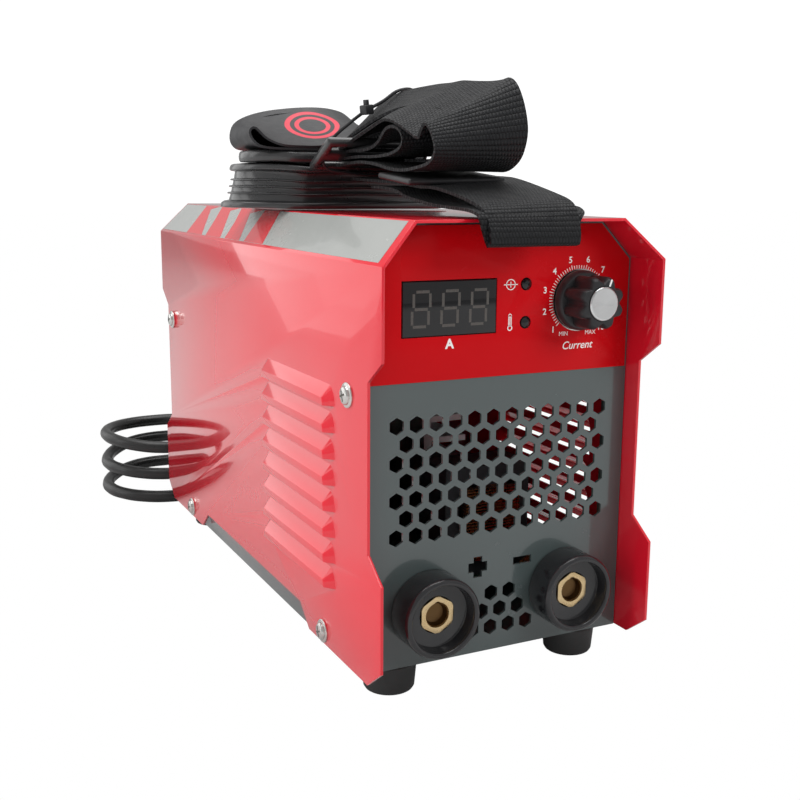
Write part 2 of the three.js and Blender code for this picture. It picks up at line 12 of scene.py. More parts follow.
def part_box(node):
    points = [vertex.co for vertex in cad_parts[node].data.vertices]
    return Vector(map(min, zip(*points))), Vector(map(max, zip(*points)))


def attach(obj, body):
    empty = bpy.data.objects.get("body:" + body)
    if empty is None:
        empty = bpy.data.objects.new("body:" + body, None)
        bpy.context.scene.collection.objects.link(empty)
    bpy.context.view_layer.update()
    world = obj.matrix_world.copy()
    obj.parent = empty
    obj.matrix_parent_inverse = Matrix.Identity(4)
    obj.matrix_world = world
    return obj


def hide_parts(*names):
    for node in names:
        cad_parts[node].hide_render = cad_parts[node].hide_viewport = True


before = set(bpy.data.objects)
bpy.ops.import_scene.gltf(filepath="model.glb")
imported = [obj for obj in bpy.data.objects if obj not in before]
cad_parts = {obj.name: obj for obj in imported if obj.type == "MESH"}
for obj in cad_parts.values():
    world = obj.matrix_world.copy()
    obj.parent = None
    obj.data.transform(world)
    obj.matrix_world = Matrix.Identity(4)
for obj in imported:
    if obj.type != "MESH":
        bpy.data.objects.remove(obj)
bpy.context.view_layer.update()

MM = 0.001

# %% [markdown]
# Every place below comes from the frame's own parts. The machine is a folded cover round two set-back
# panels, so a few faces give nearly all of it: the cover's front edge, its side walls and the two
# panels' faces.

# %% Faces that the pieces are placed from
cover_low, cover_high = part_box("cover")
front_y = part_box("front_panel")[0][1]
rear_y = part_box("rear_panel")[1][1]
cover_front = cover_low[1]
louvre_rise = 3.6 * MM
side_x = cover_high[0] - louvre_rise
print("front face", front_y, "rear face", rear_y, "side wall", side_x)

# %% [markdown]
# The camera stands a little left of the front, just above the roof, and looks along the machine with a
# mild long lens, so that the near corner is large and the roof is a thin slice. Its frame is built from
# a turn, a dip and a small roll, which is easier to read than three Euler angles.

# %% Camera
def aim_camera(place, turn, dip, roll, lens, shift):
    turn, dip, roll = (math.radians(angle) for angle in (turn, dip, roll))
    ahead = Vector((math.sin(turn) * math.cos(dip), math.cos(turn) * math.cos(dip), -math.sin(dip)))
    right = Vector((math.cos(turn), -math.sin(turn), 0))
    up = right.cross(ahead)
    across = right * math.cos(roll) + up * math.sin(roll)
    upward = up * math.cos(roll) - right * math.sin(roll)
    data = bpy.data.cameras.new("camera")
    data.lens, data.sensor_width, data.clip_end = lens, 36, 50
    data.shift_x, data.shift_y = shift
    camera = bpy.data.objects.new("camera", data)
    camera.matrix_world = Matrix((
        (across.x, upward.x, -ahead.x, place[0]),
        (across.y, upward.y, -ahead.y, place[1]),
        (across.z, upward.z, -ahead.z, place[2]),
        (0, 0, 0, 1)))
    bpy.context.collection.objects.link(camera)
    bpy.context.scene.camera = camera


aim_camera(place=(-0.2263, cover_front - 0.3454, 0.2024), turn=26.52, dip=11.0, roll=0.43, lens=49.24,
           shift=(-0.0037, -0.0055))
print("camera with a", round(bpy.context.scene.camera.data.lens, 1), "mm lens")

# %% [markdown]
# ## Working by hand, in code
# Each new piece starts as a primitive, is shaped in edit mode, and ends with its transforms applied, so
# that its object sits at the origin and patterns on Object coordinates stay still. Operators act on all
# that is selected, so these small tools always begin by clearing the selection.

# %% Selecting and editing
def clear_selection():
    if bpy.context.object and bpy.context.object.mode != "OBJECT":
        bpy.ops.object.mode_set(mode="OBJECT")
    bpy.ops.object.select_all(action="DESELECT")


def pick(*pieces):
    clear_selection()
    for piece in pieces:
        piece.select_set(True)
    bpy.context.view_layer.objects.active = pieces[0]
    return pieces[0]


def edit(piece):
    pick(piece)
    bpy.ops.object.mode_set(mode="EDIT")
    bpy.ops.mesh.select_all(action="SELECT")


def leave_edit():
    bpy.ops.object.mode_set(mode="OBJECT")


clear_selection()
print(len(bpy.context.selected_objects), "objects selected to begin with")

# %% [markdown]
# A piece is made round the origin, where it is easy to measure, and moved into place at the end. Real
# edges are never sharp, so most pieces get a small bevel, and the faces left between are shaded smooth.

# %% Moving, modifiers and rounded edges
def settle(piece, place, turn=(0, 0, 0)):
    """Puts a piece made round the origin in its place and applies the move."""
    pick(piece)
    piece.rotation_euler = [math.radians(angle) for angle in turn]
    piece.location = place
    bpy.ops.object.transform_apply(location=True, rotation=True, scale=True)
    return piece


def modify(piece, kind, **settings):
    """Adds a modifier with these settings and applies it."""
    pick(piece)
    modifier = piece.modifiers.new(kind.lower(), kind)
    for name, value in settings.items():
        setattr(modifier, name, value)
    bpy.ops.object.modifier_apply(modifier=modifier.name)


def soften(piece, width, segments=2, limit=30):
    """Rounds every sharp edge, as paint and moulds do, then shades the rest smooth."""
    modify(piece, "BEVEL", width=width * MM, segments=segments, limit_method="ANGLE",
           angle_limit=math.radians(limit), use_clamp_overlap=True, harden_normals=False)
    smooth(piece)


def smooth(piece, angle=35):
    pick(piece)
    bpy.ops.object.shade_smooth_by_angle(angle=math.radians(angle))


print("tools for moving and rounding ready")

# %% [markdown]
# A finished piece is one object, closed, with its faces outwards. It is named, given its finish, told
# which body it rides on, and told which frame parts it takes the place of.

# %% Joining and naming
def face_out(piece):
    edit(piece)
    bpy.ops.mesh.remove_doubles(threshold=1e-6)
    bpy.ops.mesh.normals_make_consistent(inside=False)
    leave_edit()


def joined(name, *pieces):
    pick(*pieces)
    if len(pieces) > 1:
        bpy.ops.object.join()
    pieces[0].name = name
    return pieces[0]


def part_of(piece, name, body, slot, material, *replaced):
    """Names a finished piece, gives it its finish and says which body it rides on."""
    piece.name = name
    piece.data.name = name
    piece.data.materials.clear()
    piece.data.materials.append(material)
    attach(piece, body)
    if replaced:
        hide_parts(*replaced)
    return piece


print("tools for joining and naming ready")

# %% [markdown]
# Turned pieces are made as on a lathe read backwards: a disc is the start, and each step extrudes its end
# face, slides it along the axis and scales it. Stepping back inwards makes a bore. A box between two
# corners is the other common start. Both are made standing up, so two turns are kept to lay them down.

# %% Turned pieces and boxes
def turned(steps, sides):
    """A closed round piece along +Z from (radius, height) steps in millimetres."""
    (radius, height), *rest = steps
    clear_selection()
    bpy.ops.mesh.primitive_circle_add(vertices=sides, radius=radius * MM, fill_type="NGON",
                                      location=(0, 0, height * MM))
    piece = bpy.context.object
    bpy.ops.object.transform_apply(location=True)
    edit(piece)
    for wider, further in rest:
        bpy.ops.mesh.extrude_region_move(TRANSFORM_OT_translate={"value": (0, 0, (further - height) * MM)})
        bpy.ops.transform.resize(value=(wider / radius, wider / radius, 1),
                                 center_override=(0, 0, further * MM))
        radius, height = wider, further
    bpy.ops.mesh.select_all(action="SELECT")
    bpy.ops.mesh.normals_make_consistent(inside=False)
    leave_edit()
    return piece


def block(low, high):
    """A box between two corners, in metres."""
    clear_selection()
    bpy.ops.mesh.primitive_cube_add(size=1, location=[(a + b) / 2 for a, b in zip(low, high)],
                                    scale=[b - a for a, b in zip(low, high)])
    piece = bpy.context.object
    bpy.ops.object.transform_apply(location=True, rotation=True, scale=True)
    return piece


TO_FRONT, TO_REAR = (90, 0, 0), (-90, 0, 0)
print("lathe and box ready; a piece is laid to the front by", TO_FRONT)

# %% [markdown]
# ## Finishes
# No real surface is one flat colour. Three small effects turn up on nearly every part, so each is a node
# group, built once: uneven tone and handling marks, a fine bump from paint or mould, and settled dust.
# A group only puts out values that change over the surface. The shader, and every number that is the
# same all over, stays in the material itself.

# %% A group, its sockets and its wiring
def new_group(name, inputs, outputs):
    group = bpy.data.node_groups.new(name, "ShaderNodeTree")
    for label, default in inputs:
        socket = group.interface.new_socket(name=label, in_out="INPUT", socket_type="NodeSocketFloat")
        socket.default_value = default
    for label, kind in outputs:
        group.interface.new_socket(name=label, in_out="OUTPUT", socket_type=kind)
    return group, group.nodes.new("NodeGroupInput"), group.nodes.new("NodeGroupOutput")


def add(tree, kind, **settings):
    """Adds a node; keys that are sockets get a value or a link, the others are the node's own settings."""
    node = tree.nodes.new(kind)
    for key, value in settings.items():
        socket = node.inputs.get(key.replace("_", " ").title())
        if socket is None:
            setattr(node, key, value)
        elif isinstance(value, bpy.types.NodeSocket):
            tree.links.new(value, socket)
        else:
            socket.default_value = value
    return node


def math_node(tree, operation, *values):
    node = tree.nodes.new("ShaderNodeMath")
    node.operation = operation
    for socket, value in zip(node.inputs, values):
        if isinstance(value, bpy.types.NodeSocket):
            tree.links.new(value, socket)
        else:
            socket.default_value = value
    return node.outputs[0]


def spread(tree, value, low, high, start, end):
    """Maps start to end onto low to high."""
    return add(tree, "ShaderNodeMapRange", value=value, from_min=start, from_max=end,
               to_min=low, to_max=high).outputs[0]


print("node tools ready")

# %% [markdown]
# One noise at two sizes gives a slow change of tone and, multiplied, the scattered places that hands and
# cloths have rubbed. A much finer noise feeds a bump, for the skin of the paint or the moulding.

# %% Uneven tone, rubbed places and a fine bump
def surface_group():
    group, start, end = new_group(
        "worn_surface",
        [("Tone Scale", 18.0), ("Grain Scale", 900.0), ("Grain Strength", 0.2), ("Grain Depth", 0.0002)],
        [("Tone", "NodeSocketFloat"), ("Marks", "NodeSocketFloat"), ("Normal", "NodeSocketVector")])
    place = group.nodes.new("ShaderNodeTexCoord").outputs["Object"]
    tone = add(group, "ShaderNodeTexNoise", vector=place, scale=start.outputs["Tone Scale"], detail=4.0)
    fine = add(group, "ShaderNodeTexNoise", vector=place, detail=6.0, roughness=0.7,
               scale=math_node(group, "MULTIPLY", start.outputs["Tone Scale"], 7.0))
    grain = add(group, "ShaderNodeTexNoise", vector=place, scale=start.outputs["Grain Scale"], detail=2.0)
    bump = add(group, "ShaderNodeBump", height=grain.outputs["Fac"],
               strength=start.outputs["Grain Strength"], distance=start.outputs["Grain Depth"])
    group.links.new(tone.outputs["Fac"], end.inputs["Tone"])
    marks = math_node(group, "MULTIPLY", tone.outputs["Fac"], fine.outputs["Fac"])
    group.links.new(spread(group, marks, 0.0, 1.0, 0.15, 0.42), end.inputs["Marks"])
    group.links.new(bump.outputs["Normal"], end.inputs["Normal"])
    return group


worn_surface = surface_group()
print(worn_surface.name, "has", len(worn_surface.nodes), "nodes")

# %% [markdown]
# Dust lies on faces that look up. The mask is how far a face's normal points upwards, broken up by a
# noise, so that it never ends in a clean line.

# %% Dust that settles on faces that look up
def dust_group():
    group, start, end = new_group("settled_dust", [("Amount", 0.3), ("Scale", 240.0)],
                                  [("Mask", "NodeSocketFloat")])
    place = group.nodes.new("ShaderNodeTexCoord").outputs["Object"]
    normal = group.nodes.new("ShaderNodeNewGeometry").outputs["Normal"]
    up = add(group, "ShaderNodeSeparateXYZ", vector=normal).outputs["Z"]
    speck = add(group, "ShaderNodeTexNoise", vector=place, scale=start.outputs["Scale"], detail=5.0)
    faces_up = spread(group, up, 0.0, 1.0, 0.2, 1.0)
    mask = math_node(group, "MULTIPLY", faces_up, spread(group, speck.outputs["Fac"], 0.0, 1.0, 0.4, 0.75))
    group.links.new(math_node(group, "MULTIPLY", mask, start.outputs["Amount"]), end.inputs["Mask"])
    return group


settled_dust = dust_group()
print(settled_dust.name, "has", len(settled_dust.nodes), "nodes")

# %% [markdown]
# Most finishes then follow one recipe: two close tones mixed by the uneven mask, a roughness that rises
# where hands have been, the fine bump, and a little dust on top. Only the values differ, so one function
# makes them all, and hands back its parts for the few finishes that need more.

# %% The common recipe
def finish(name, tones, roughness, metallic=0.0, coat=0.0, coat_roughness=0.05, specular=0.5,
           tone_scale=18.0, grain=(900.0, 0.15, 0.0002), dust=0.06):
    material = bpy.data.materials.new(name)
    material.use_nodes = True
    tree = material.node_tree
    shader = tree.nodes["Principled BSDF"]
    shader.inputs["Metallic"].default_value = metallic
    shader.inputs["Coat Weight"].default_value = coat
    shader.inputs["Coat Roughness"].default_value = coat_roughness
    shader.inputs["Specular IOR Level"].default_value = specular
    worn = tree.nodes.new("ShaderNodeGroup")
    worn.node_tree = worn_surface
    for label, value in zip(("Tone Scale", "Grain Scale", "Grain Strength", "Grain Depth"),
                            (tone_scale, *grain)):
        worn.inputs[label].default_value = value
    mix = tree.nodes.new("ShaderNodeMix")
    mix.data_type = "RGBA"
    mix.inputs["A"].default_value = (*tones[0], 1)
    mix.inputs["B"].default_value = (*tones[1], 1)
    tree.links.new(worn.outputs["Tone"], mix.inputs["Factor"])
    dusty = tree.nodes.new("ShaderNodeMix")
    dusty.data_type = "RGBA"
    dusty.inputs["B"].default_value = (0.42, 0.40, 0.37, 1)
    settled = tree.nodes.new("ShaderNodeGroup")
    settled.node_tree = settled_dust
    settled.inputs["Amount"].default_value = dust
    tree.links.new(settled.outputs["Mask"], dusty.inputs["Factor"])
    tree.links.new(mix.outputs["Result"], dusty.inputs["A"])
    tree.links.new(dusty.outputs["Result"], shader.inputs["Base Color"])
    tree.links.new(spread(tree, worn.outputs["Marks"], *roughness, 0.0, 1.0), shader.inputs["Roughness"])
    tree.links.new(worn.outputs["Normal"], shader.inputs["Normal"])
    return material, tree, shader, mix


def plain(*args, **settings):
    return finish(*args, **settings)[0]


print("recipe built on", worn_surface.name, "and", settled_dust.name)

# %% [markdown]
# ### Paints, films and plastics
# The cover is powder coat under gloss: a saturated red base with a clear coat and a faint orange peel.
# The panels have the same coat over a dark grey. The label is a printed film that shines little, the lens is smoked
# plastic, almost mirror smooth, and the mouldings are black with a satin skin.

# %% Painted and moulded finishes
red_gloss = plain("gloss_red_paint", ((0.60, 0.006, 0.018), (0.66, 0.010, 0.026)), (0.08, 0.16), coat=0.8,
                  coat_roughness=0.02, specular=0.5, grain=(260.0, 0.06, 0.0002), dust=0.02)
grey_paint = plain("grey_panel_paint", ((0.050, 0.066, 0.066), (0.062, 0.080, 0.080)), (0.16, 0.28),
                   coat=1.0, coat_roughness=0.03, grain=(700.0, 0.10, 0.0001), dust=0.02)
label_film = plain("red_label_film", ((0.50, 0.003, 0.006), (0.56, 0.004, 0.008)), (0.20, 0.32),
                   specular=0.12, grain=(900.0, 0.04, 0.0001), dust=0.0)
white_print = plain("white_print", ((0.80, 0.80, 0.78), (0.88, 0.88, 0.86)), (0.30, 0.42), dust=0.0)
grey_print = plain("grey_print", ((0.32, 0.33, 0.32), (0.37, 0.38, 0.36)), (0.22, 0.32), coat=0.6,
                   coat_roughness=0.03, dust=0.0)
red_print = plain("red_print", ((0.62, 0.012, 0.020), (0.68, 0.018, 0.028)), (0.16, 0.26), coat=0.8,
                  coat_roughness=0.02, dust=0.0)
smoked_lens = plain("smoked_lens", ((0.005, 0.005, 0.006), (0.008, 0.008, 0.009)), (0.04, 0.10), coat=0.2,
                    coat_roughness=0.02, grain=(200.0, 0.02, 0.0001), dust=0.02)
gloss_black = plain("gloss_black_plastic", ((0.010, 0.010, 0.011), (0.016, 0.016, 0.018)), (0.14, 0.28),
                    coat=0.4, coat_roughness=0.1, grain=(500.0, 0.08, 0.0001), dust=0.03)
satin_black = plain("satin_black_plastic", ((0.012, 0.012, 0.013), (0.022, 0.022, 0.024)), (0.34, 0.50),
                    grain=(1600.0, 0.25, 0.0001), dust=0.05)
rubber = plain("black_rubber", ((0.014, 0.014, 0.014), (0.024, 0.024, 0.024)), (0.42, 0.62),
               grain=(1200.0, 0.3, 0.0001), dust=0.10)
cord_jacket = plain("cord_jacket", ((0.010, 0.010, 0.010), (0.018, 0.018, 0.018)), (0.26, 0.40),
                    grain=(700.0, 0.2, 0.0001), dust=0.03)
board_mask = plain("green_solder_mask", ((0.010, 0.060, 0.024), (0.018, 0.085, 0.036)), (0.28, 0.45),
                   tone_scale=90.0, dust=0.05)
ferrite = plain("ground_ferrite", ((0.030, 0.030, 0.034), (0.055, 0.055, 0.060)), (0.5, 0.7), dust=0.05)
print(red_gloss.name, "to", ferrite.name, "made")

# %% [markdown]
# ### Metals
# Plated screws, turned brass and extruded aluminium share the recipe with metallic at one. Their life is
# in the roughness: plating is nearly mirror bright with rubbed patches, and the fins are matt.

# %% Metal finishes
plated = plain("plated_steel", ((0.66, 0.65, 0.62), (0.78, 0.77, 0.74)), (0.12, 0.30), metallic=1.0,
               tone_scale=120.0, grain=(1500.0, 0.2, 0.0001), dust=0.0)
brass = plain("turned_brass", ((0.72, 0.50, 0.22), (0.90, 0.72, 0.46)), (0.24, 0.38), metallic=1.0,
              tone_scale=90.0, grain=(1500.0, 0.15, 0.0001), dust=0.0)
# A darkened brass for the inside of the socket bores: painted shade in the hole, not a different metal.
bore_bronze = plain("bore_bronze", ((0.13, 0.075, 0.03), (0.22, 0.13, 0.06)), (0.35, 0.5), metallic=1.0,
                    tone_scale=90.0, dust=0.0)
fin_metal = plain("extruded_aluminium", ((0.60, 0.61, 0.62), (0.74, 0.75, 0.76)), (0.35, 0.5), metallic=1.0,
                  tone_scale=40.0, grain=(1200.0, 0.3, 0.0001), dust=0.05)
print(plated.name, "to", fin_metal.name, "made")

# %% [markdown]
# Two metals carry a pattern. The knob's cap is spun, so its bump is rings round its own axis, which
# break the light into bright sectors. The transformer is wound, so its bump is wires side by side.

# %% Spun cap and wound copper
def ringed(name, centre, tones, roughness, rings_per_metre, depth):
    material, tree, shader, _ = finish(name, tones, roughness, metallic=1.0, tone_scale=60.0, dust=0.0)
    place = tree.nodes.new("ShaderNodeTexCoord").outputs["Object"]
    moved = add(tree, "ShaderNodeMapping", vector=place)
    moved.inputs["Location"].default_value = [-value for value in centre]
    flat = add(tree, "ShaderNodeSeparateXYZ", vector=moved.outputs["Vector"])
    square = [math_node(tree, "MULTIPLY", flat.outputs[axis], flat.outputs[axis]) for axis in "XZ"]
    radius = math_node(tree, "SQRT", math_node(tree, "ADD", *square))
    wave = math_node(tree, "SINE", math_node(tree, "MULTIPLY", radius, rings_per_metre * math.tau))
    bump = add(tree, "ShaderNodeBump", height=wave, strength=0.6, distance=depth)
    tree.links.new(bump.outputs["Normal"], shader.inputs["Normal"])
    return material


knob_low, knob_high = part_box("knob")
knob_axis = [(low + high) / 2 for low, high in zip(knob_low, knob_high)]
spun_cap = ringed("spun_aluminium", knob_axis, ((0.76, 0.77, 0.78), (0.88, 0.88, 0.88)), (0.16, 0.26),
                  5000, 0.00002)


def wound(name, tones, wires_per_metre):
    material, tree, shader, _ = finish(name, tones, (0.22, 0.36), metallic=1.0, tone_scale=60.0)
    place = tree.nodes.new("ShaderNodeTexCoord").outputs["Object"]
    height = add(tree, "ShaderNodeSeparateXYZ", vector=place).outputs["Z"]
    turns = math_node(tree, "ABSOLUTE", math_node(
        tree, "SINE", math_node(tree, "MULTIPLY", height, wires_per_metre * math.pi)))
    bump = add(tree, "ShaderNodeBump", height=turns, strength=0.9, distance=0.0006)
    tree.links.new(bump.outputs["Normal"], shader.inputs["Normal"])
    return material


copper = wound("enamelled_copper", ((0.62, 0.22, 0.08), (0.78, 0.34, 0.14)), 700)
print(spun_cap.name, "and", copper.name, "made")

# %% [markdown]
# ### Webbing
# Strap webbing is woven in rows across its width: each row is a line of small stitches, and the next row
# starts half a stitch over. The pattern reads the ribbon's own UV map, laid out in metres, so the weave
# bends with the strap and keeps its real size.

# %% Woven webbing
def weave_group():
    row, stitch = 1.9 * MM, 1.5 * MM
    group, start, end = new_group("webbing_weave", [("Depth", 0.0005)],
                                  [("Height", "NodeSocketFloat"), ("Normal", "NodeSocketVector")])
    flat = add(group, "ShaderNodeSeparateXYZ", vector=group.nodes.new("ShaderNodeUVMap").outputs["UV"])
    rows = math_node(group, "DIVIDE", flat.outputs["Y"], row)
    shift = math_node(group, "MULTIPLY", math_node(group, "FLOOR", rows), 0.5)
    stitches = math_node(group, "ADD", math_node(group, "DIVIDE", flat.outputs["X"], stitch), shift)

    def ridge(value, power):
        wave = math_node(group, "ABSOLUTE", math_node(
            group, "SINE", math_node(group, "MULTIPLY", value, math.pi)))
        return math_node(group, "POWER", wave, power)

    height = math_node(group, "MULTIPLY", ridge(rows, 0.5), math_node(
        group, "MULTIPLY_ADD", ridge(stitches, 0.6), 0.75, 0.25))
    bump = add(group, "ShaderNodeBump", height=height, strength=1.0, distance=start.outputs["Depth"])
    group.links.new(height, end.inputs["Height"])
    group.links.new(bump.outputs["Normal"], end.inputs["Normal"])
    return group


webbing_weave = weave_group()


def woven(name, shaded_hollow, crown, sheen):
    material, tree, shader, mix = finish(name, (shaded_hollow, crown), (0.50, 0.70), specular=0.30, dust=0.02)
    weave = tree.nodes.new("ShaderNodeGroup")
    weave.node_tree = webbing_weave
    # The weave's height also sets the colour: the darker hollows are painted shade between the stitches, the
    # lighter crowns painted highlight on the ribs.
    tree.links.new(weave.outputs["Height"], mix.inputs["Factor"])
    tree.links.new(weave.outputs["Normal"], shader.inputs["Normal"])
    shader.inputs["Sheen Weight"].default_value = sheen
    shader.inputs["Sheen Roughness"].default_value = 0.4
    return material


# The first tone is the painted shade in the weave's hollows, the second the painted highlight on its crowns.
black_webbing = woven("black_webbing", (0.0010, 0.0010, 0.0014), (0.013, 0.0135, 0.015), 0.02)
print(len(bpy.data.materials), "finishes ready")

# %% [markdown]
# ## Floor and light
# The object stands in plain white, as in a light tent. The camera sees the floor as one even white, while
# the paint mirrors a softer grey floor: a Light Path node chooses between the two.

# %% Floor
clear_selection()
bpy.ops.mesh.primitive_plane_add(size=14, location=(0, 0, -0.0002))
floor = bpy.context.object
floor.name = "floor"
pick(floor)
bpy.ops.object.transform_apply(location=True)
pale_floor, floor_tree, floor_shader, _ = finish("pale_floor", ((0.46, 0.46, 0.46), (0.50, 0.50, 0.50)),
                                                 (0.5, 0.6), tone_scale=1.5, dust=0.0)
white = add(floor_tree, "ShaderNodeEmission", color=(1, 1, 1, 1), strength=1.0)
as_seen = floor_tree.nodes.new("ShaderNodeMixShader")
floor_tree.links.new(floor_tree.nodes.new("ShaderNodeLightPath").outputs["Is Camera Ray"], as_seen.inputs[0])
floor_tree.links.new(floor_shader.outputs[0], as_seen.inputs[1])
floor_tree.links.new(white.outputs[0], as_seen.inputs[2])
floor_tree.links.new(as_seen.outputs[0], floor_tree.nodes["Material Output"].inputs["Surface"])
floor.data.materials.append(pale_floor)
print("floor laid at", round(floor.data.vertices[0].co.z / MM, 2), "mm")

# %% [markdown]
# The surround is white to the camera as well, and dimmer as a light. What makes gloss paint look glossy is
# what it mirrors, so two large soft lamps sit where the left wall mirrors them, with a gap between them
# that leaves a deep red stripe. The front mirrors a dimmer room and keeps its colour: its two lamps, and
# the one that fills the left wall, light it without being mirrored.

# %% Surround and lamps
def surround(seen, lit):
    """The camera sees plain white; everything else is lit by a softer white."""
    world = bpy.data.worlds.new("surround")
    bpy.context.scene.world = world
    world.use_nodes = True
    tree = world.node_tree
    tree.nodes.clear()
    show = add(tree, "ShaderNodeBackground", color=(1, 1, 1, 1), strength=seen)
    light = add(tree, "ShaderNodeBackground", color=(1, 1, 1, 1), strength=lit)
    mix = tree.nodes.new("ShaderNodeMixShader")
    tree.links.new(tree.nodes.new("ShaderNodeLightPath").outputs["Is Camera Ray"], mix.inputs[0])
    tree.links.new(light.outputs[0], mix.inputs[1])
    tree.links.new(show.outputs[0], mix.inputs[2])
    tree.links.new(mix.outputs[0], tree.nodes.new("ShaderNodeOutputWorld").inputs[0])


def soft_lamp(name, place, towards, size, power, mirrored=True):
    data = bpy.data.lights.new(name, "AREA")
    data.shape, data.size, data.size_y, data.energy = "RECTANGLE", size[0], size[1], power
    lamp = bpy.data.objects.new(name, data)
    lamp.location = place
    lamp.rotation_euler = (Vector(towards) - Vector(place)).to_track_quat("-Z", "Y").to_euler()
    lamp.visible_glossy = mirrored
    bpy.context.collection.objects.link(lamp)


surround(seen=1.1, lit=0.42)
soft_lamp("left_tent_far", (-1.25, 1.75, 0.75), (-0.1, 0.1, 0.1), (1.5, 1.6), 7.0)
soft_lamp("left_tent_near", (-1.9, 0.66, 0.75), (-0.1, 0.0, 0.1), (0.75, 1.6), 4.2)
soft_lamp("left_fill", (-2.2, 0.1, 1.0), (0.0, 0.1, 0.1), (1.6, 1.6), 36, mirrored=False)
soft_lamp("top_tent", (0.1, 0.2, 1.7), (0.0, 0.0, 0.1), (1.6, 1.6), 20)
soft_lamp("front_key", (0.9, -1.5, 1.1), (0.0, -0.1, 0.1), (0.9, 0.9), 17, mirrored=False)
soft_lamp("front_fill", (-1.1, -1.3, 0.5), (0.0, -0.1, 0.1), (0.9, 0.7), 5, mirrored=False)
view = bpy.context.scene.view_settings
view.view_transform = "Standard"
print("surround and", len(bpy.data.lights), "lamps")

# %% [markdown]
# ## Mains lead
# The lead is one length of 7.5 mm rubber cable. It leaves the gland, drops into a loose coil of three
# turns behind the left rear corner, crosses the floor to a tied coil behind the casing, where its spare
# length is put away, and comes off the top of that coil into its plug. A curve carries the route: each
# coil's turns are worked out from its centre, its radius and its height after so many turns.

# %% Coils
cord_radius = 3.75 * MM
coil_radius = 38 * MM


def coil_turns(centre, start, turns, direction, height_at, steps=16):
    """Points of a coil seen from above: its start in degrees, then how many turns, and which way."""
    count = max(2, round(turns * steps))
    points = []
    for step in range(count + 1):
        done = turns * step / count
        angle = math.radians(start + direction * 360 * done)
        points.append((centre[0] + coil_radius * math.cos(angle),
                       centre[1] + coil_radius * math.sin(angle), height_at(done)))
    return points


def between(levels):
    """A height for any number of turns, smooth between the levels given at each quarter turn."""
    def height_at(done):
        place = min(done * 4, len(levels) - 1.001)
        first = int(place)
        blend = place - first
        blend = blend * blend * (3 - 2 * blend)
        return (levels[first] * (1 - blend) + levels[first + 1] * blend) * MM
    return height_at


print("coils", round(2 * coil_radius / MM), "mm across, of cable", 2 * cord_radius / MM, "mm thick")

# %% [markdown]
# The frame says where the gland, the two coils and the plug are. The straight stretches between them are
# points given one by one: the lead leaves the gland level, and comes down from the tied coil into the plug.

# %% Route of the lead
def middle_of(low, high):
    return [(a + b) / 2 for a, b in zip(low, high)]


gland_low, gland_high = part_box("cord_gland")
cord_exit = ((gland_low[0] + gland_high[0]) / 2, gland_high[1], (gland_low[2] + gland_high[2]) / 2)
tied_low, tied_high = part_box("cord_coil_tied")
plug_low, plug_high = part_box("mains_plug")
loose_centre = middle_of(*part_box("cord_coil_loose"))
tied_centre = middle_of(tied_low, tied_high)
loose_heights = between([40.5, 38.5, 39.5, 36.5, 31, 26.5, 21, 19.5, 15, 9, 5, 4.6, 3.8])
lead = [cord_exit, *((cord_exit[0] + dx * MM, cord_exit[1] + dy * MM, cord_exit[2] + dz * MM)
                     for dx, dy, dz in ((0, 7, 0), (-1.4, 14, -0.8), (-4.4, 23, -2.2)))]
loose_turns = coil_turns(loose_centre, 0, 2.90, 1, loose_heights)
tied_turns = coil_turns(tied_centre, 144.5, 3 + 54.5 / 360, -1, lambda done: 3.85 * MM + done * 7.6 * MM)
plug_axis = [plug_low[0], (plug_low[1] + plug_high[1]) / 2, (plug_low[2] + plug_high[2]) / 2]
into_plug = [(plug_axis[0] - back * MM, plug_axis[1], plug_axis[2] + rise * MM)
             for back, rise in ((24, 6.2), (15, 3.4), (7, 0.9), (-2, 0))]
route = [Vector(point) for point in (*lead, *loose_turns, *tied_turns, *into_plug)]

# %% [markdown]
# The curve's points get automatic handles, so the cable is smooth between them, and its bevel gives the
# jacket its thickness. It stays a curve, which keeps its length known to the last step.

# %% The cable
def cable(name, points, radius):
    data = bpy.data.curves.new(name, "CURVE")
    data.dimensions = "3D"
    data.bevel_depth, data.bevel_resolution, data.resolution_u = radius, 5, 5
    data.use_fill_caps = True
    spline = data.splines.new("BEZIER")
    spline.bezier_points.add(len(points) - 1)
    for knot, point in zip(spline.bezier_points, points):
        knot.co = point
        knot.handle_left_type = knot.handle_right_type = "AUTO"
    cord = bpy.data.objects.new(name, data)
    bpy.context.collection.objects.link(cord)
    return cord


mains_lead = cable("mains_lead", route, cord_radius)
mains_lead.data.materials.append(cord_jacket)
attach(mains_lead, "root")
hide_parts("mains_cord", "cord_coil_loose", "cord_coil_tied", "mains_cord_end")
print("cable with", len(mains_lead.data.splines[0].bezier_points), "points")

# %% [markdown]
# The plug is a moulded earthed plug lying on its rim. It is turned: a ribbed boot that grips the cable, a
# waist for the fingers and a round head with two pins. The earth clips lie in the rim, above and below.

# %% Plug
def moulded_plug():
    boot = [(5.0, 0), (5.4, 1)]
    for rib in range(5):
        at = 3 + rib * 3.6
        boot += [(5.6 + rib * 0.4, at), (5.0 + rib * 0.4, at + 0.4), (5.0 + rib * 0.4, at + 1.6),
                 (5.8 + rib * 0.4, at + 2.0)]
    body = turned(boot + [(10.5, 22), (12.5, 24), (14.0, 30), (15.2, 34), (18.6, 39), (19.4, 41),
                          (19.4, 58.6), (18.4, 59.8), (16.6, 60), (16.6, 57.5)], sides=48)
    soften(body, 0.35)
    for middle in (-17.5, 17.5):
        bar = block(((middle - 2.1) * MM, -3.2 * MM, 42 * MM), ((middle + 2.1) * MM, 3.2 * MM, 58 * MM))
        soften(bar, 0.4)
        body = joined("body", body, bar)
    return settle(body, plug_axis, (0, 90, 0))


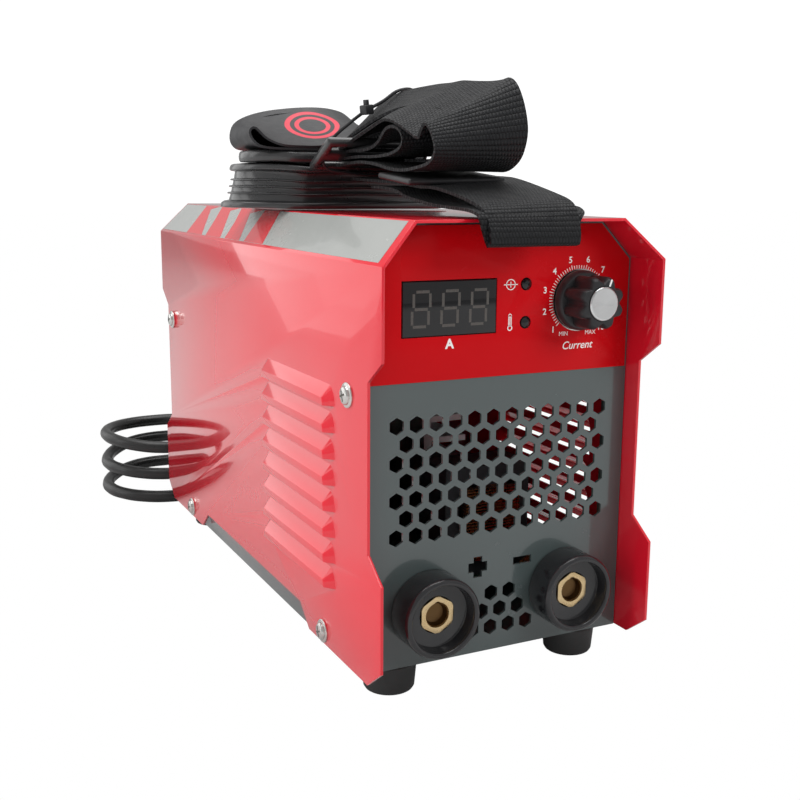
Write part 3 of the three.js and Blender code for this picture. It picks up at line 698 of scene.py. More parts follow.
def plug_pins():
    pins = []
    for side in (-9.5, 9.5):
        sleeve = turned([(2.4, 57.6), (2.4, 68), (2.3, 68.2), (2.3, 77.6), (1.8, 78.6), (0.9, 78.9)],
                        sides=24)
        smooth(sleeve)
        pins.append(settle(sleeve, (plug_axis[0], plug_axis[1] + side * MM, plug_axis[2]), (0, 90, 0)))
    return joined("plug_pins", *pins)


part_of(moulded_plug(), "moulded_plug", "root", "black_rubber", satin_black, "mains_plug")
pins = part_of(plug_pins(), "plug_pins", "root", "plated_steel", plated)
print("plug with", len(pins.data.polygons), "faces in its pins")

# %% [markdown]
# A nylon tie keeps the spare turns together. Its band starts as a circle squeezed to an oval that fits
# round the stack, pulled up into a ribbon and given its thickness; a small block on top is its head.

# %% Tie on the spare turns
def coil_tie(centre, angle, top):
    """A narrow cable tie round turns stacked up to top, with its head on top."""
    clear_selection()
    bpy.ops.mesh.primitive_circle_add(vertices=24, radius=1, fill_type="NOTHING")
    band = bpy.context.object
    band.scale = (cord_radius * 1.35, top / 2 + 0.4 * MM, 1)
    bpy.ops.object.transform_apply(scale=True)
    edit(band)
    bpy.ops.mesh.extrude_region_move(TRANSFORM_OT_translate={"value": (0, 0, 3.6 * MM)})
    leave_edit()
    face_out(band)
    modify(band, "SOLIDIFY", thickness=1.0 * MM, offset=-1)
    soften(band, 0.2)
    head = block((-2.6 * MM, top / 2 - 0.8 * MM, -0.7 * MM), (2.6 * MM, top / 2 + 2.4 * MM, 4.3 * MM))
    soften(head, 0.5)
    tie = joined("tie", band, head)
    settle(tie, (0, 0, 0), (90, 0, 0))
    return settle(tie, (centre[0] + coil_radius * math.cos(angle), centre[1] + coil_radius * math.sin(angle),
                        top / 2 + 0.7 * MM), (0, 0, math.degrees(angle)))


first_tie = coil_tie(tied_centre, math.radians(-100), tied_high[2] - 6 * MM)
part_of(first_tie, "coil_tie", "root", "black_plastic", satin_black)
print("spare turns tied")

# %% [markdown]
# ## Casing
# The cover is one sheet folded over the machine, with its louvres pressed out of the walls. The frame's
# cover already has the true folds, so a copy of it is merged, its flat facets are dissolved into whole
# faces, and every edge is rounded as paint rounds it. A thin bevel is what makes an edge catch the light.

# %% A rounded copy of a frame part
def rounded_copy(node, width, segments=2):
    piece = bpy.data.objects.new(node + "_copy", bpy.data.objects[node].data.copy())
    bpy.context.collection.objects.link(piece)
    edit(piece)
    bpy.ops.mesh.remove_doubles(threshold=1e-6)
    bpy.ops.mesh.dissolve_limited(angle_limit=math.radians(0.5))
    leave_edit()
    modify(piece, "BEVEL", width=width * MM, segments=segments, limit_method="ANGLE",
           angle_limit=math.radians(12), use_clamp_overlap=True)
    smooth(piece, 40)
    return piece


def finish_node(material, *nodes):
    """Gives frame parts that stay as they are their real finish."""
    for node in nodes:
        mesh = bpy.data.objects[node].data
        mesh.materials.clear()
        mesh.materials.append(material)


part_of(rounded_copy("cover", 0.45, 3), "cover_shell", "root", "gloss_red_paint", red_gloss, "cover")
part_of(rounded_copy("base_tray", 0.3), "tray", "root", "grey_panel_paint", grey_paint, "base_tray")
finish_node(grey_paint, "front_panel", "rear_panel")

# %% [markdown]
# The cover's screws have a domed head with a cross recess over a flat washer. The head is turned once;
# four wedge cuts would be fussy, so the cross is two small blocks taken out with a boolean. The screw is
# modelled once, and a copy with its own mesh goes to each place.

# %% Cover screws
def modify_cut(piece, tool):
    """Takes the tool's shape out of the piece and throws the tool away."""
    modify(piece, "BOOLEAN", operation="DIFFERENCE", object=tool, solver="EXACT")
    bpy.data.objects.remove(tool)


def cross_screw(head, height, washer):
    piece = turned([(washer, 0), (washer, 0.7), (washer - 0.3, 0.95), (head, 1.0), (head, 1.5),
                    (head * 0.86, height - 0.45), (head * 0.55, height - 0.1), (0.3, height)], sides=40)
    soften(piece, 0.12)
    for turn in (20, 110):
        slot = block((-0.42 * MM, -head * 0.62 * MM, (height - 1.3) * MM),
                     (0.42 * MM, head * 0.62 * MM, 4 * MM))
        modify_cut(piece, settle(slot, (0, 0, 0), (0, 0, turn)))
    smooth(piece)
    return piece


def copy_of(piece):
    twin = bpy.data.objects.new(piece.name, piece.data.copy())
    bpy.context.collection.objects.link(twin)
    return twin


cover_screw = cross_screw(head=3.7, height=2.6, washer=5.0)
for node in [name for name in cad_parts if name.startswith("cover_screw")]:
    low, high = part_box(node)
    side = 1 if low[0] > 0 else -1
    place = (side * side_x, (low[1] + high[1]) / 2, (low[2] + high[2]) / 2)
    piece = settle(copy_of(cover_screw), place, (0, 90 * side, 0))
    part_of(piece, node.replace("cover_screw", "screw"), "root", "plated_steel", plated, node)
bpy.data.objects.remove(cover_screw)
print("cover screws in place")

# %% [markdown]
# The feet are soft rubber, a little wider at the top, with a hole from below that hides the screw. They
# are turned as well, and the hole is one boolean.

# %% Feet
foot_screw = cross_screw(head=3.3, height=3.0, washer=3.9)
foot = turned([(9.4, 0.05), (9.9, 0.4), (10.5, 1.4), (11.4, 11.6), (11.0, 11.95), (0.5, 11.95)], sides=56)
modify_cut(foot, turned([(4.6, -1), (4.6, 6)], sides=40))
soften(foot, 0.35)
for node in [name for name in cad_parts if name.startswith("foot_") and "screw" not in name]:
    centre = middle_of(*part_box(node))
    screw_node = node.replace("foot_", "foot_screw_")
    part_of(settle(copy_of(foot), (centre[0], centre[1], 0)), node.replace("foot", "rubber_foot"), "root",
            "black_rubber", rubber, node)
    part_of(settle(copy_of(foot_screw), (centre[0], centre[1], 5.7 * MM), (180, 0, 0)),
            screw_node.replace("foot_screw", "fixing"), "root", "plated_steel", plated, screw_node)
for pattern in (foot, foot_screw):
    bpy.data.objects.remove(pattern)
print("casing, screws and feet done")

# %% [markdown]
# ## Front panel
# The upper half is a red printed label round the display, the lamps and the dial. The prints are raised
# by a few hundredths of a millimetre, as screen-printed ink is, so they are real geometry: letters, bars
# and rings, each a thin solid that is turned to face the front.

# %% Label and prints
label_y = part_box("control_label")[0][1]
part_of(rounded_copy("control_label", 0.08), "label", "root", "red_label_film", label_film, "control_label")
finish_node(smoked_lens, "power_lamp", "heat_lamp")
INK = 0.06 * MM


def print_text(words, x, z, size, bold=0.0, slant=0.0):
    """Generic lettering on the label, as a thin solid facing the front."""
    clear_selection()
    bpy.ops.object.text_add(location=(0, 0, 0))
    text = bpy.context.object
    text.data.body = words
    text.data.size = size * MM
    text.data.align_x, text.data.align_y = "CENTER", "CENTER"
    text.data.extrude = INK / 2
    text.data.offset = bold * MM
    text.data.shear = slant
    text.data.resolution_u = 4
    bpy.ops.object.convert(target="MESH")
    piece = bpy.context.object
    return settle(piece, (x * MM, label_y - INK / 2, z * MM), TO_FRONT)


def print_bar(x, z, wide, high, turn=0):
    bar = block((-wide * MM / 2, -high * MM / 2, -INK / 2), (wide * MM / 2, high * MM / 2, INK / 2))
    settle(bar, (0, 0, 0), (0, 0, turn))
    return settle(bar, (x * MM, label_y - INK / 2, z * MM), TO_FRONT)


def print_ring(x, z, radius, wide, sides=40):
    clear_selection()
    bpy.ops.mesh.primitive_circle_add(vertices=sides, radius=(radius + wide / 2) * MM, fill_type="NGON")
    piece = bpy.context.object
    edit(piece)
    bpy.ops.mesh.inset(thickness=wide * MM)
    bpy.ops.mesh.delete(type="FACE")
    leave_edit()
    modify(piece, "SOLIDIFY", thickness=INK, offset=0)
    return settle(piece, (x * MM, label_y - INK / 2, z * MM), TO_FRONT)


print("label face at", label_y)

# %% [markdown]
# The dial has ten numbers over 270 degrees with five fine ticks between neighbours. Everything stands on
# circles round the knob's axis, so a loop places it: angles run clockwise from the lower left.

# %% Dial
knob_x, knob_z = knob_axis[0] / MM, knob_axis[2] / MM
first_number, sweep, numbers, ticks_between = 225, 270, 10, 6
number_ring, tick_ring = 16.6, 12.7
dial = []
for step in range(numbers):
    angle = math.radians(first_number - sweep // (numbers - 1) * step)
    dial.append(print_text(str(step + 1), knob_x + number_ring * math.cos(angle),
                           knob_z + number_ring * math.sin(angle), 3.6, bold=0.05))
ticks = (numbers - 1) * ticks_between
for step in range(ticks + 1):
    turn = first_number - sweep * step / ticks
    angle = math.radians(turn)
    long = 1.7 if step % ticks_between == 0 else 1.25
    reach = tick_ring + long / 2
    dial.append(print_bar(knob_x + reach * math.cos(angle), knob_z + reach * math.sin(angle),
                          long, 0.28, turn))
dial.append(print_text("MIN", knob_x - 6.6, knob_z - 13.6, 2.5))
dial.append(print_text("MAX", knob_x + 6.6, knob_z - 13.6, 2.5))
dial.append(print_text("Current", knob_x + 0.2, knob_z - 18.6, 4.5, slant=0.25, bold=0.03))
part_of(joined("dial_print", *dial), "dial_print", "root", "red_label_film", white_print)
print("dial of", numbers, "numbers and", ticks + 1, "ticks")

# %% [markdown]
# Each lamp has a plain sign beside it, made of rings and bars: a line through a circle for power, and a
# thermometer for heat. The letter under the display is the unit of current.

# %% Marks beside the lamps and under the display
lamp_x = middle_of(*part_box("power_lamp"))[0] / MM
power_z = middle_of(*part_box("power_lamp"))[2] / MM
heat_z = middle_of(*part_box("heat_lamp"))[2] / MM
display_mid = middle_of(*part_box("display_window"))
display_x, display_z = display_mid[0] / MM, display_mid[2] / MM
sign_x = lamp_x - 7.2
marks = [print_ring(sign_x, power_z, 2.0, 0.34), print_bar(sign_x, power_z, 6.4, 0.34),
         print_bar(sign_x, power_z, 0.34, 2.2),
         print_ring(sign_x, heat_z - 1.9, 0.95, 0.4), print_bar(sign_x - 0.62, heat_z + 0.9, 0.3, 4.2),
         print_bar(sign_x + 0.62, heat_z + 0.9, 0.3, 4.2), print_ring(sign_x, heat_z + 3, 0.62, 0.3, 20),
         print_bar(sign_x, heat_z + 0.4, 0.4, 3.6),
         print_text("A", display_x, display_z - 14.0, 5.2, bold=0.18)]
part_of(joined("label_marks", *marks), "label_marks", "root", "red_label_film", white_print)
print("label printed")

# %% [markdown]
# The display is smoked plastic over a three-digit module. Unlit segments still show faintly through it,
# so each digit is seven thin bars in a slightly lighter grey, leaning a few degrees as they really do.

# %% Display
part_of(rounded_copy("display_window", 0.4), "display_lens", "root", "smoked_lens", smoked_lens,
        "display_window")
unlit = plain("unlit_segments", ((0.070, 0.064, 0.058), (0.090, 0.083, 0.076)), (0.25, 0.35), dust=0.0)
lens_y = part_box("display_window")[0][1]


def segment(x, z, wide, high):
    return block((x * MM - wide * MM / 2, lens_y - 0.03 * MM, z * MM - high * MM / 2),
                 (x * MM + wide * MM / 2, lens_y + 0.01 * MM, z * MM + high * MM / 2))


def digit(x, z):
    lean = math.tan(math.radians(6))
    bars = []
    for level in (-6.6, 0, 6.6):
        bars.append(segment(x + level * lean, z + level, 5.6, 1.1))
    for level in (-3.3, 3.3):
        for side in (-3.5, 3.5):
            bars.append(segment(x + level * lean + side, z + level, 1.1, 5.2))
    return bars


digits = [bar for place in (-12.6, 0, 12.6) for bar in digit(display_x + place, display_z)]
part_of(joined("unlit_digits", *digits), "unlit_digits", "root", "smoked_lens", unlit)
print("display with", len(digits), "segments")

# %% [markdown]
# ## Knob
# The knob is a black moulding with eight lobes over a round skirt. Both are turned, and the lobes are then
# made by drawing the body in at eight places round its axis.

# %% Knob moulding
def lobed_body(radius, depth, low, high, lobes=8, sides=128):
    body = turned([(radius, low), (radius, high - 2.2), (radius - 0.7, high - 0.6), (radius - 1.4, high)],
                  sides=sides)
    for vertex in body.data.vertices:
        angle = math.atan2(vertex.co.y, vertex.co.x)
        wave = (0.5 + 0.5 * math.cos(lobes * angle)) ** 1.6
        vertex.co.x *= 1 - depth / radius * wave
        vertex.co.y *= 1 - depth / radius * wave
    return body


def knob_pieces():
    reach = (front_y - knob_low[1]) / MM
    skirt = turned([(8.0, 1.6), (11.9, 1.6), (12.2, 1.9), (12.2, 3.4), (11.9, 4.6), (11.2, 5.6), (8.5, 6.0)],
                   sides=96)
    soften(skirt, 0.3)
    body = lobed_body(10.9, 2.3, 5.2, reach - 0.35)
    soften(body, 0.35, limit=50)
    return joined("knob_moulding", body, skirt)


at_panel = (knob_axis[0], front_y, knob_axis[2])
knob = settle(knob_pieces(), at_panel, TO_FRONT)
seat = settle(turned([(6.95, 15.6), (6.95, 30)], sides=64), at_panel, TO_FRONT)
modify_cut(knob, seat)
smooth(knob)
part_of(knob, "knob_moulding", "knob", "black_plastic", satin_black, "knob")
print("knob of", len(knob.data.polygons), "faces")

# %% [markdown]
# A disc of spun aluminium caps the knob, and a raised white line on its edge is the pointer. A bright thin
# ring lies on the label under the skirt and doesn't turn with it.

# %% Cap, pointer and ring
cap_reach = (front_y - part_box("knob_cap")[0][1]) / MM
cap = turned([(6.7, 15.7), (6.7, cap_reach - 0.5), (6.3, cap_reach - 0.1), (5.9, cap_reach),
              (5.6, cap_reach - 0.06), (0.4, cap_reach - 0.10)], sides=96)
soften(cap, 0.12)
part_of(settle(cap, at_panel, TO_FRONT), "knob_disc", "knob", "aluminium", spun_cap, "knob_cap")
finish_node(plated, "knob_shaft")

pointer_turn = 70
pointer = block((7.1 * MM, -0.35 * MM, 0), (10.0 * MM, 0.35 * MM, 0.35 * MM))
soften(pointer, 0.08)
settle(pointer, (0, 0, (cap_reach - 0.9) * MM), (0, 0, pointer_turn))
part_of(settle(pointer, at_panel, TO_FRONT), "knob_pointer", "knob", "black_plastic", white_print)
ring_shim = turned([(6.0, 0.7), (12.6, 0.7), (12.6, 1.3), (6.0, 1.3)], sides=96)
part_of(settle(ring_shim, at_panel, TO_FRONT), "dial_ring", "root", "aluminium", plated)
print("cap stands", round(cap_reach, 1), "mm off the panel")

# %% [markdown]
# ## Welding sockets
# Each socket is an insulating collar with a hexagonal brass insert set back in it. The collar's rim is a
# plain tube, so it is turned outwards and then back down inside. The insert starts as a six-sided bar,
# its corners are turned off, and a bore with a keyway takes the plug's pin.

# %% Sockets
def socket_collar(rise, recess):
    collar = turned([(12.4, 0.2), (16.3, 0.2), (16.5, 0.6), (16.5, rise - 1.4), (15.9, rise - 0.4),
                     (15.2, rise), (14.4, rise), (13.8, rise - 0.5), (13.6, rise - 1.6),
                     (13.4, rise - recess), (7.5, rise - recess), (7.5, 2.0)], sides=96)
    soften(collar, 0.35)
    return collar


def brass_insert(top):
    bar = turned([(8.08, 2), (8.08, top)], sides=6)
    turned_off = turned([(7.86, 1), (7.86, top - 0.5), (7.5, top + 0.1)], sides=64)
    modify(bar, "BOOLEAN", operation="INTERSECT", object=turned_off, solver="EXACT")
    bpy.data.objects.remove(turned_off)
    modify_cut(bar, turned([(4.9, top - 3.6), (4.9, top - 0.5), (5.3, top + 0.2)], sides=48))
    keyway = turned([(1.9, top - 3.6), (1.9, top + 1)], sides=32)
    modify_cut(bar, settle(keyway, (0, 3.7 * MM, 0)))
    soften(bar, 0.15)
    return bar


for pole in ("positive", "negative"):
    low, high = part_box("socket_collar_" + pole)
    place = ((low[0] + high[0]) / 2, front_y, (low[2] + high[2]) / 2)
    rise = (front_y - low[1]) / MM
    insert_top = (front_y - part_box("socket_insert_" + pole)[0][1]) / MM
    part_of(settle(socket_collar(rise, rise - insert_top + 0.4), place, TO_FRONT), "collar_" + pole, "root",
            "black_plastic", gloss_black, "socket_collar_" + pole)
    part_of(settle(brass_insert(insert_top), place, TO_FRONT), "insert_" + pole, "root", "brass", brass,
            "socket_insert_" + pole)
    # A thin liner of darker brass lines the bore: painted shade inside the hole.
    liner = turned([(4.3, insert_top - 3.5), (4.88, insert_top - 3.5), (4.88, insert_top - 0.9),
                    (4.7, insert_top - 0.8), (4.0, insert_top - 3.0)], sides=48)
    smooth(liner)
    part_of(settle(liner, place, TO_FRONT), "bore_" + pole, "root", "brass", bore_bronze)
finish_node(brass, "socket_nut_positive", "socket_nut_negative")
print("sockets done")

# %% [markdown]
# ## Rear and inside
# The rear panel carries the fan behind a punched grille, the power switch and the cord gland. What shows
# through the vents keeps the frame's shapes and gets real finishes: the copper winding is the warm spot
# behind the middle holes.

# %% Rear fittings and the inside
finish_node(satin_black, "fan_frame", "fan_rotor", "capacitor_1", "capacitor_2", "display_module")
part_of(rounded_copy("switch_body", 0.4), "switch_bezel", "root", "black_plastic", satin_black, "switch_body")
part_of(rounded_copy("power_rocker", 0.5, 3), "rocker", "rocker", "black_plastic", gloss_black,
        "power_rocker")
finish_node(fin_metal, "heat_sink_left", "heat_sink_right")
finish_node(board_mask, "main_board", "control_board")
finish_node(ferrite, "transformer_core")
finish_node(copper, "transformer_winding")
finish_node(plated, "potentiometer", "potentiometer_nut")
print("switch and inner parts finished")

# %% [markdown]
# The gland is a flange against the panel with a ribbed tail that tapers to the cable, so the lead bends
# gently where it leaves.

# %% Cord gland
def ribbed_gland(length):
    steps = [(6.4, 0.2), (9.4, 0.2), (9.5, 0.6), (9.5, 2.6), (9.0, 3.2), (7.4, 3.6)]
    ribs = 7
    for rib in range(ribs):
        start = 4.4 + rib * (length - 6.5) / ribs
        radius = 7.2 - 2.0 * rib / ribs
        steps += [(radius, start), (radius, start + 2.2), (radius - 0.9, start + 2.7),
                  (radius - 0.9, start + 3.6)]
    steps += [(5.0, length - 1.4), (5.0, length - 0.2), (4.4, length)]
    gland = turned(steps, sides=56)
    soften(gland, 0.25)
    return gland


gland_length = (gland_high[1] - rear_y) / MM
gland = settle(ribbed_gland(gland_length), (cord_exit[0], rear_y, cord_exit[2]), TO_REAR)
part_of(gland, "cord_boot", "root", "black_rubber", rubber, "cord_gland")
print("rear and inside done")

# %% [markdown]
# ## Shoulder strap
# The strap is 42 mm webbing, folded up and tied on the roof. Woven goods don't stretch, so a strap is best
# drawn by its two edges: each fold is a pair of points, one on each edge, and the cloth between them is
# straight across. The edges are given in millimetres from the cover's front edge and the floor, and a
# smooth line is run through the points.

# %% Places and smooth lines
def spot(x, y, z):
    """A place measured from the cover's front edge and the floor, in millimetres."""
    return Vector((x * MM, cover_front + y * MM, z * MM))


def smooth_line(points, at):
    """The point of a smooth line through the points, where at runs from 0 to the last index."""
    first = min(int(at), len(points) - 2)
    part = at - first
    a, b, c, d = (points[max(0, min(first + step, len(points) - 1))] for step in (-1, 0, 1, 2))
    return 0.5 * (2 * b + (c - a) * part + (2 * a - 5 * b + 4 * c - d) * part ** 2
                  + (3 * b - a - 3 * c + d) * part ** 3)


print("the roof's front edge is at", spot(0, 0, cover_high[2] / MM))

# %% [markdown]
# A grid is the start of each length of cloth. Its rows are moved to even steps along the two edges, and its
# UV map is laid out in metres, so the weave keeps its size. Solidify then gives the cloth its thickness.

# %% A strap from its two edges
def strap(name, near, far, step=1.4, across=14, thickness=1.2, crown=0.0):
    """Returns the cloth, its width and its length in metres; step is in millimetres along it."""
    near = [spot(*point) for point in near]
    far = [spot(*point) for point in far]
    fine = [i / 12 for i in range((len(near) - 1) * 12 + 1)]
    middle = [(smooth_line(near, at) + smooth_line(far, at)) / 2 for at in fine]
    run = [0.0]
    for a, b in zip(middle, middle[1:]):
        run.append(run[-1] + (b - a).length)
    rows = max(8, round(run[-1] / (step * MM)))
    clear_selection()
    bpy.ops.mesh.primitive_grid_add(x_subdivisions=across, y_subdivisions=rows, size=2, calc_uvs=True)
    cloth = bpy.context.object
    cloth.name = name
    seek = 0
    edges = []
    for row in range(rows + 1):
        goal = run[-1] * row / rows
        while seek < len(run) - 2 and run[seek + 1] < goal:
            seek += 1
        at = fine[seek] + (goal - run[seek]) / (run[seek + 1] - run[seek]) * (fine[seek + 1] - fine[seek])
        edges.append((smooth_line(near, at), smooth_line(far, at), goal))
    wide = sum((b - a).length for a, b, _ in edges) / len(edges)
    keys = {}
    for vertex in cloth.data.vertices:
        row = round((vertex.co.y + 1) / 2 * rows)
        side = (vertex.co.x + 1) / 2
        a, b, goal = edges[row]
        keys[vertex.index] = (side * wide, goal)
        before, after = edges[max(row - 1, 0)], edges[min(row + 1, rows)]
        along = ((after[0] + after[1]) - (before[0] + before[1])).normalized()
        lift = (b - a).cross(along).normalized() * crown * MM * math.sin(math.pi * side)
        vertex.co = a.lerp(b, side) + lift
    layer = cloth.data.uv_layers.active.data
    for loop in cloth.data.loops:
        layer[loop.index].uv = keys[loop.vertex_index]
    modify(cloth, "SOLIDIFY", thickness=thickness * MM, offset=0, use_rim=True, use_even_offset=True)
    smooth(cloth, 50)
    print(name, "is", round(wide * 1000, 1), "mm wide and", round(run[-1], 3), "m long")
    return cloth, wide, run[-1]


print("strap maker ready")

# %% [markdown]
# ### Bundle
# The outer turn comes forward along the roof, rises over a round front fold, dips into a notch where the
# cloth was pinched, and runs back under the tie. Its far edge stays high while its near edge sinks, which
# is what turns the crown of the bundle into slanting creases. A smaller turn lies inside it.

# %% Outer and inner turns
outer_near = [(-30, 118, 209.5), (-30, 104, 210.6), (-30, 90, 211.0), (-30, 76, 210.0), (-30, 62, 208.0),
              (-30, 50, 207.4), (-30, 37, 208.4), (-30, 27.5, 210.2), (-30, 23.4, 213.8), (-30, 24.2, 217.8),
              (-30, 27.6, 222.2), (-30, 31.4, 224.3), (-30, 34.4, 222.6), (-30, 36.4, 219.8),
              (-30, 39.2, 219.6), (-30, 43.5, 221.2), (-30, 49, 223.2), (-30, 55, 225.2), (-30, 61.5, 226.9),
              (-30, 68, 227.4), (-30, 74, 226.3), (-30, 82.6, 224.2), (-30, 91, 222.2), (-31, 101, 219.0),
              (-33, 112, 215.4)]
outer_far = [(12, 118, 212.4), (12, 104, 211.6), (12, 90, 210.8), (12, 76, 210.0), (12, 63, 209.0),
             (12, 52, 208.0), (12, 41, 207.6), (12, 33.5, 209.9), (12, 28.2, 214.3), (12, 25.4, 222.4),
             (12, 27.6, 231.2), (11.8, 31.6, 238.6), (11.5, 35.2, 242.2), (11.0, 38.2, 243.2),
             (10.6, 42, 242.7), (9.9, 48, 242.6), (9.2, 55, 243.0), (8.4, 62, 243.6), (7.4, 69, 244.2),
             (6, 76, 243.8), (4.4, 84, 243.8), (2.4, 91, 243.4), (0.4, 98, 242.9), (-2, 106, 242.0),
             (-6, 115, 239.5)]
inner_near = [(-29.6, 118, 214.6), (-29.6, 101, 216.0), (-29.6, 91, 215.8), (-29.6, 81, 216.7),
              (-29.6, 74, 218.9), (-29.6, 70.2, 221.6), (-29.6, 66.4, 223.9), (-29.6, 60.5, 224.6),
              (-29.6, 55, 223.2), (-29.6, 51.8, 220.0), (-29.6, 52.8, 216.8), (-29.6, 58, 214.8),
              (-29.6, 67, 213.5), (-29.6, 81, 213.1), (-29.6, 92, 213.3), (-29.6, 104, 213.0),
              (-29.6, 118, 212.0)]
inner_far = [(11, 118, 224.0), (11, 104, 226.0), (11, 93, 228.4), (11, 84, 230.6), (11, 75, 232.6),
             (11, 67, 233.6), (11, 60, 233.6), (11, 53, 232.4), (11, 48, 229.6), (11, 45.6, 225.4),
             (11, 47, 220.6), (11, 53, 217.0), (11, 64, 215.0), (11, 78, 214.6), (11, 92, 214.8),
             (11, 104, 215.4), (11, 118, 216.2)]
outer_turn, outer_wide, outer_long = strap("bundle_outer_turn", outer_near, outer_far)
inner_turn, inner_wide, inner_long = strap("bundle_inner_turn", inner_near, inner_far)
print("outer and inner turns folded")

# %% [markdown]
# A folded-over edge lies between those two, and shows under the tie. A short last turn closes the bundle
# at the back.

# %% Middle and rear turns
middle_near = [(x + 1.0, y + 4.5, z) for x, y, z in
               [(-29, 112, 219.4), (-29, 92, 224.6), (-25, 80, 229.6), (-20, 68, 232.8), (-16, 56, 232.6),
                (-15, 44, 230.8), (-14.5, 36, 227.2), (-14.5, 31, 222.2), (-14.5, 33, 216.4),
                (-15, 40, 212.8), (-16, 52, 211.4), (-20, 66, 211.6)]]
middle_far = [(x, y + 4.5, z - 3.0) for x, y, z in
              [(3, 112, 232.6), (8, 92, 236.6), (10, 80, 238.4), (11, 68, 238.8), (11.4, 56, 238.4),
               (11.6, 44, 236.6), (11.6, 33, 232.6), (11.6, 26.6, 225.6), (11.6, 27.6, 217.0),
               (11.6, 34, 212.2), (11.6, 48, 211.4), (11.6, 64, 211.8)]]
rear_near = [(-22, 120.4, 207.4), (-22, 124.6, 208.6), (-22, 127, 212.0), (-22, 127, 216.2),
             (-22, 124.4, 219.4), (-22, 120.8, 221.6)]
rear_far = [(20, 120.4, 208.4), (20, 124.8, 211.4), (19, 127.4, 219.0), (15, 127.2, 229.4),
            (10, 124.8, 237.6), (5, 121, 242.0)]
middle_turn, middle_wide, middle_long = strap("bundle_middle_turn", middle_near, middle_far)
rear_turn, rear_wide, rear_long = strap("bundle_rear_turn", rear_near, rear_far)
print("middle and rear turns folded")

# %% [markdown]
# ### Tail
# One doubled end hangs over the front edge of the roof: it comes out from under the bundle, bends over
# the edge, folds at its lowest point and returns underneath, where its cut end shows past the far side.

# %% Doubled tail
tail_near = [(-22, 118, 204.2), (-22, 100, 203.4), (-22, 80, 202.8), (-22, 66, 202.2), (-22, 52, 201.0),
             (-22, 42, 200.8), (-22, 33.3, 200.0), (-22, 17.5, 197.4), (-21.6, 6.2, 194.6),
             (-21.3, 0.8, 191.9),
             (-21, -2.4, 187.0), (-21, -3.6, 182.6), (-21, -3.2, 180.6), (-21.3, -1.7, 180.5),
             (-22.5, -1.1, 184.0), (-24, -1.1, 188.6), (-24.4, -0.2, 191.0), (-24.5, 3.5, 192.2),
             (-24.3, 10, 192.9), (-24, 20, 193.3), (-24, 33, 193.9), (-24, 45.7, 195.2), (-24, 58.9, 196.9),
             (-24, 67, 199.0), (-24, 78, 200.2), (-24, 92, 200.6)]
tail_far = [(19, 118, 206.0), (19, 100, 205.6), (19, 80, 205.4), (19.4, 66, 205.2), (20, 54, 204.8),
            (20, 46, 204.2), (20.4, 34.7, 202.2), (20.4, 16.5, 198.4), (20, 6.6, 196.0), (19.2, 1.2, 193.0),
            (18.6, -2.4, 187.0), (18.2, -3.6, 182.6), (18.1, -3.2, 180.6), (18.1, -1.7, 180.5),
            (18.4, -1.1, 184.0), (19.5, -1.1, 188.6), (22, -0.2, 191.0), (24.0, 3.5, 192.4),
            (25.5, 10, 193.6), (24, 20, 194.2), (19, 33, 194.6), (16, 45.7, 195.6), (16, 58.9, 197.2),
            (16, 67, 199.2), (16, 78, 200.4), (16, 92, 200.8)]
tail, tail_wide, tail_long = strap("strap_tail_webbing", tail_near, tail_far)
print("tail laid over the front edge")

# %% [markdown]
# ### Flap over the pad
# The strap's other end is a smooth printed band. It lies on the pad, folds round at the left and comes
# back over the top, tipped towards the front. A lining of webbing stands inside it and fills it out.

# %% Flap and lining
flap_near = [(12, 131, 217.3), (-20, 131, 217.2), (-45, 131, 217.2), (-56.0, 131, 217.4), (-61, 132, 218.6),
             (-63.6, 134, 221.8), (-63.9, 135, 224.8), (-61.4, 135, 226.2), (-56.6, 133.4, 221.6),
             (-50, 131, 218.8), (-41, 130.6, 218.3), (-32, 130.6, 218.5), (-22, 131, 220.0),
             (-12, 134, 224.0),
             (-4, 136, 225.0), (4, 137, 223.0), (11, 137, 219.4)]
flap_far = [(12, 171, 217.3), (-20, 171, 217.2), (-45, 171, 217.2), (-56, 171, 217.5), (-60, 171, 219.0),
            (-61.6, 171, 222.6), (-60.6, 171, 227.6), (-57.4, 171, 230.8), (-51, 171, 233.6),
            (-43, 171, 235.6), (-35, 170, 236.8), (-27, 169, 237.6), (-19, 167, 237.8), (-12, 166, 237.2),
            (-5, 166, 235.2), (2, 167, 229.6), (11, 168, 220.4)]
flap, flap_wide, flap_long = strap("printed_flap", flap_near, flap_far, thickness=1.0, crown=0.8)
lining_tops = [(-58.5, 228.2), (-51, 232.2), (-43, 234.4), (-35, 235.6), (-27, 236.3), (-19, 236.5),
               (-11, 235.8), (-4, 233.6), (2, 228.4), (8, 222.0)]
lining, lining_wide, lining_long = strap("flap_lining", [(x, 167.5, 218.2) for x, _ in lining_tops],
                                         [(x, 165.5, top - 0.6) for x, top in lining_tops], thickness=0.8)
print("flap laid on the pad")

# %% [markdown]
# Two plain rings are printed on the flap. The print is a mask read from the cloth's own UV map, so it
# follows the cloth: each ring is the places whose distance from the centre is nearly the ring's radius.

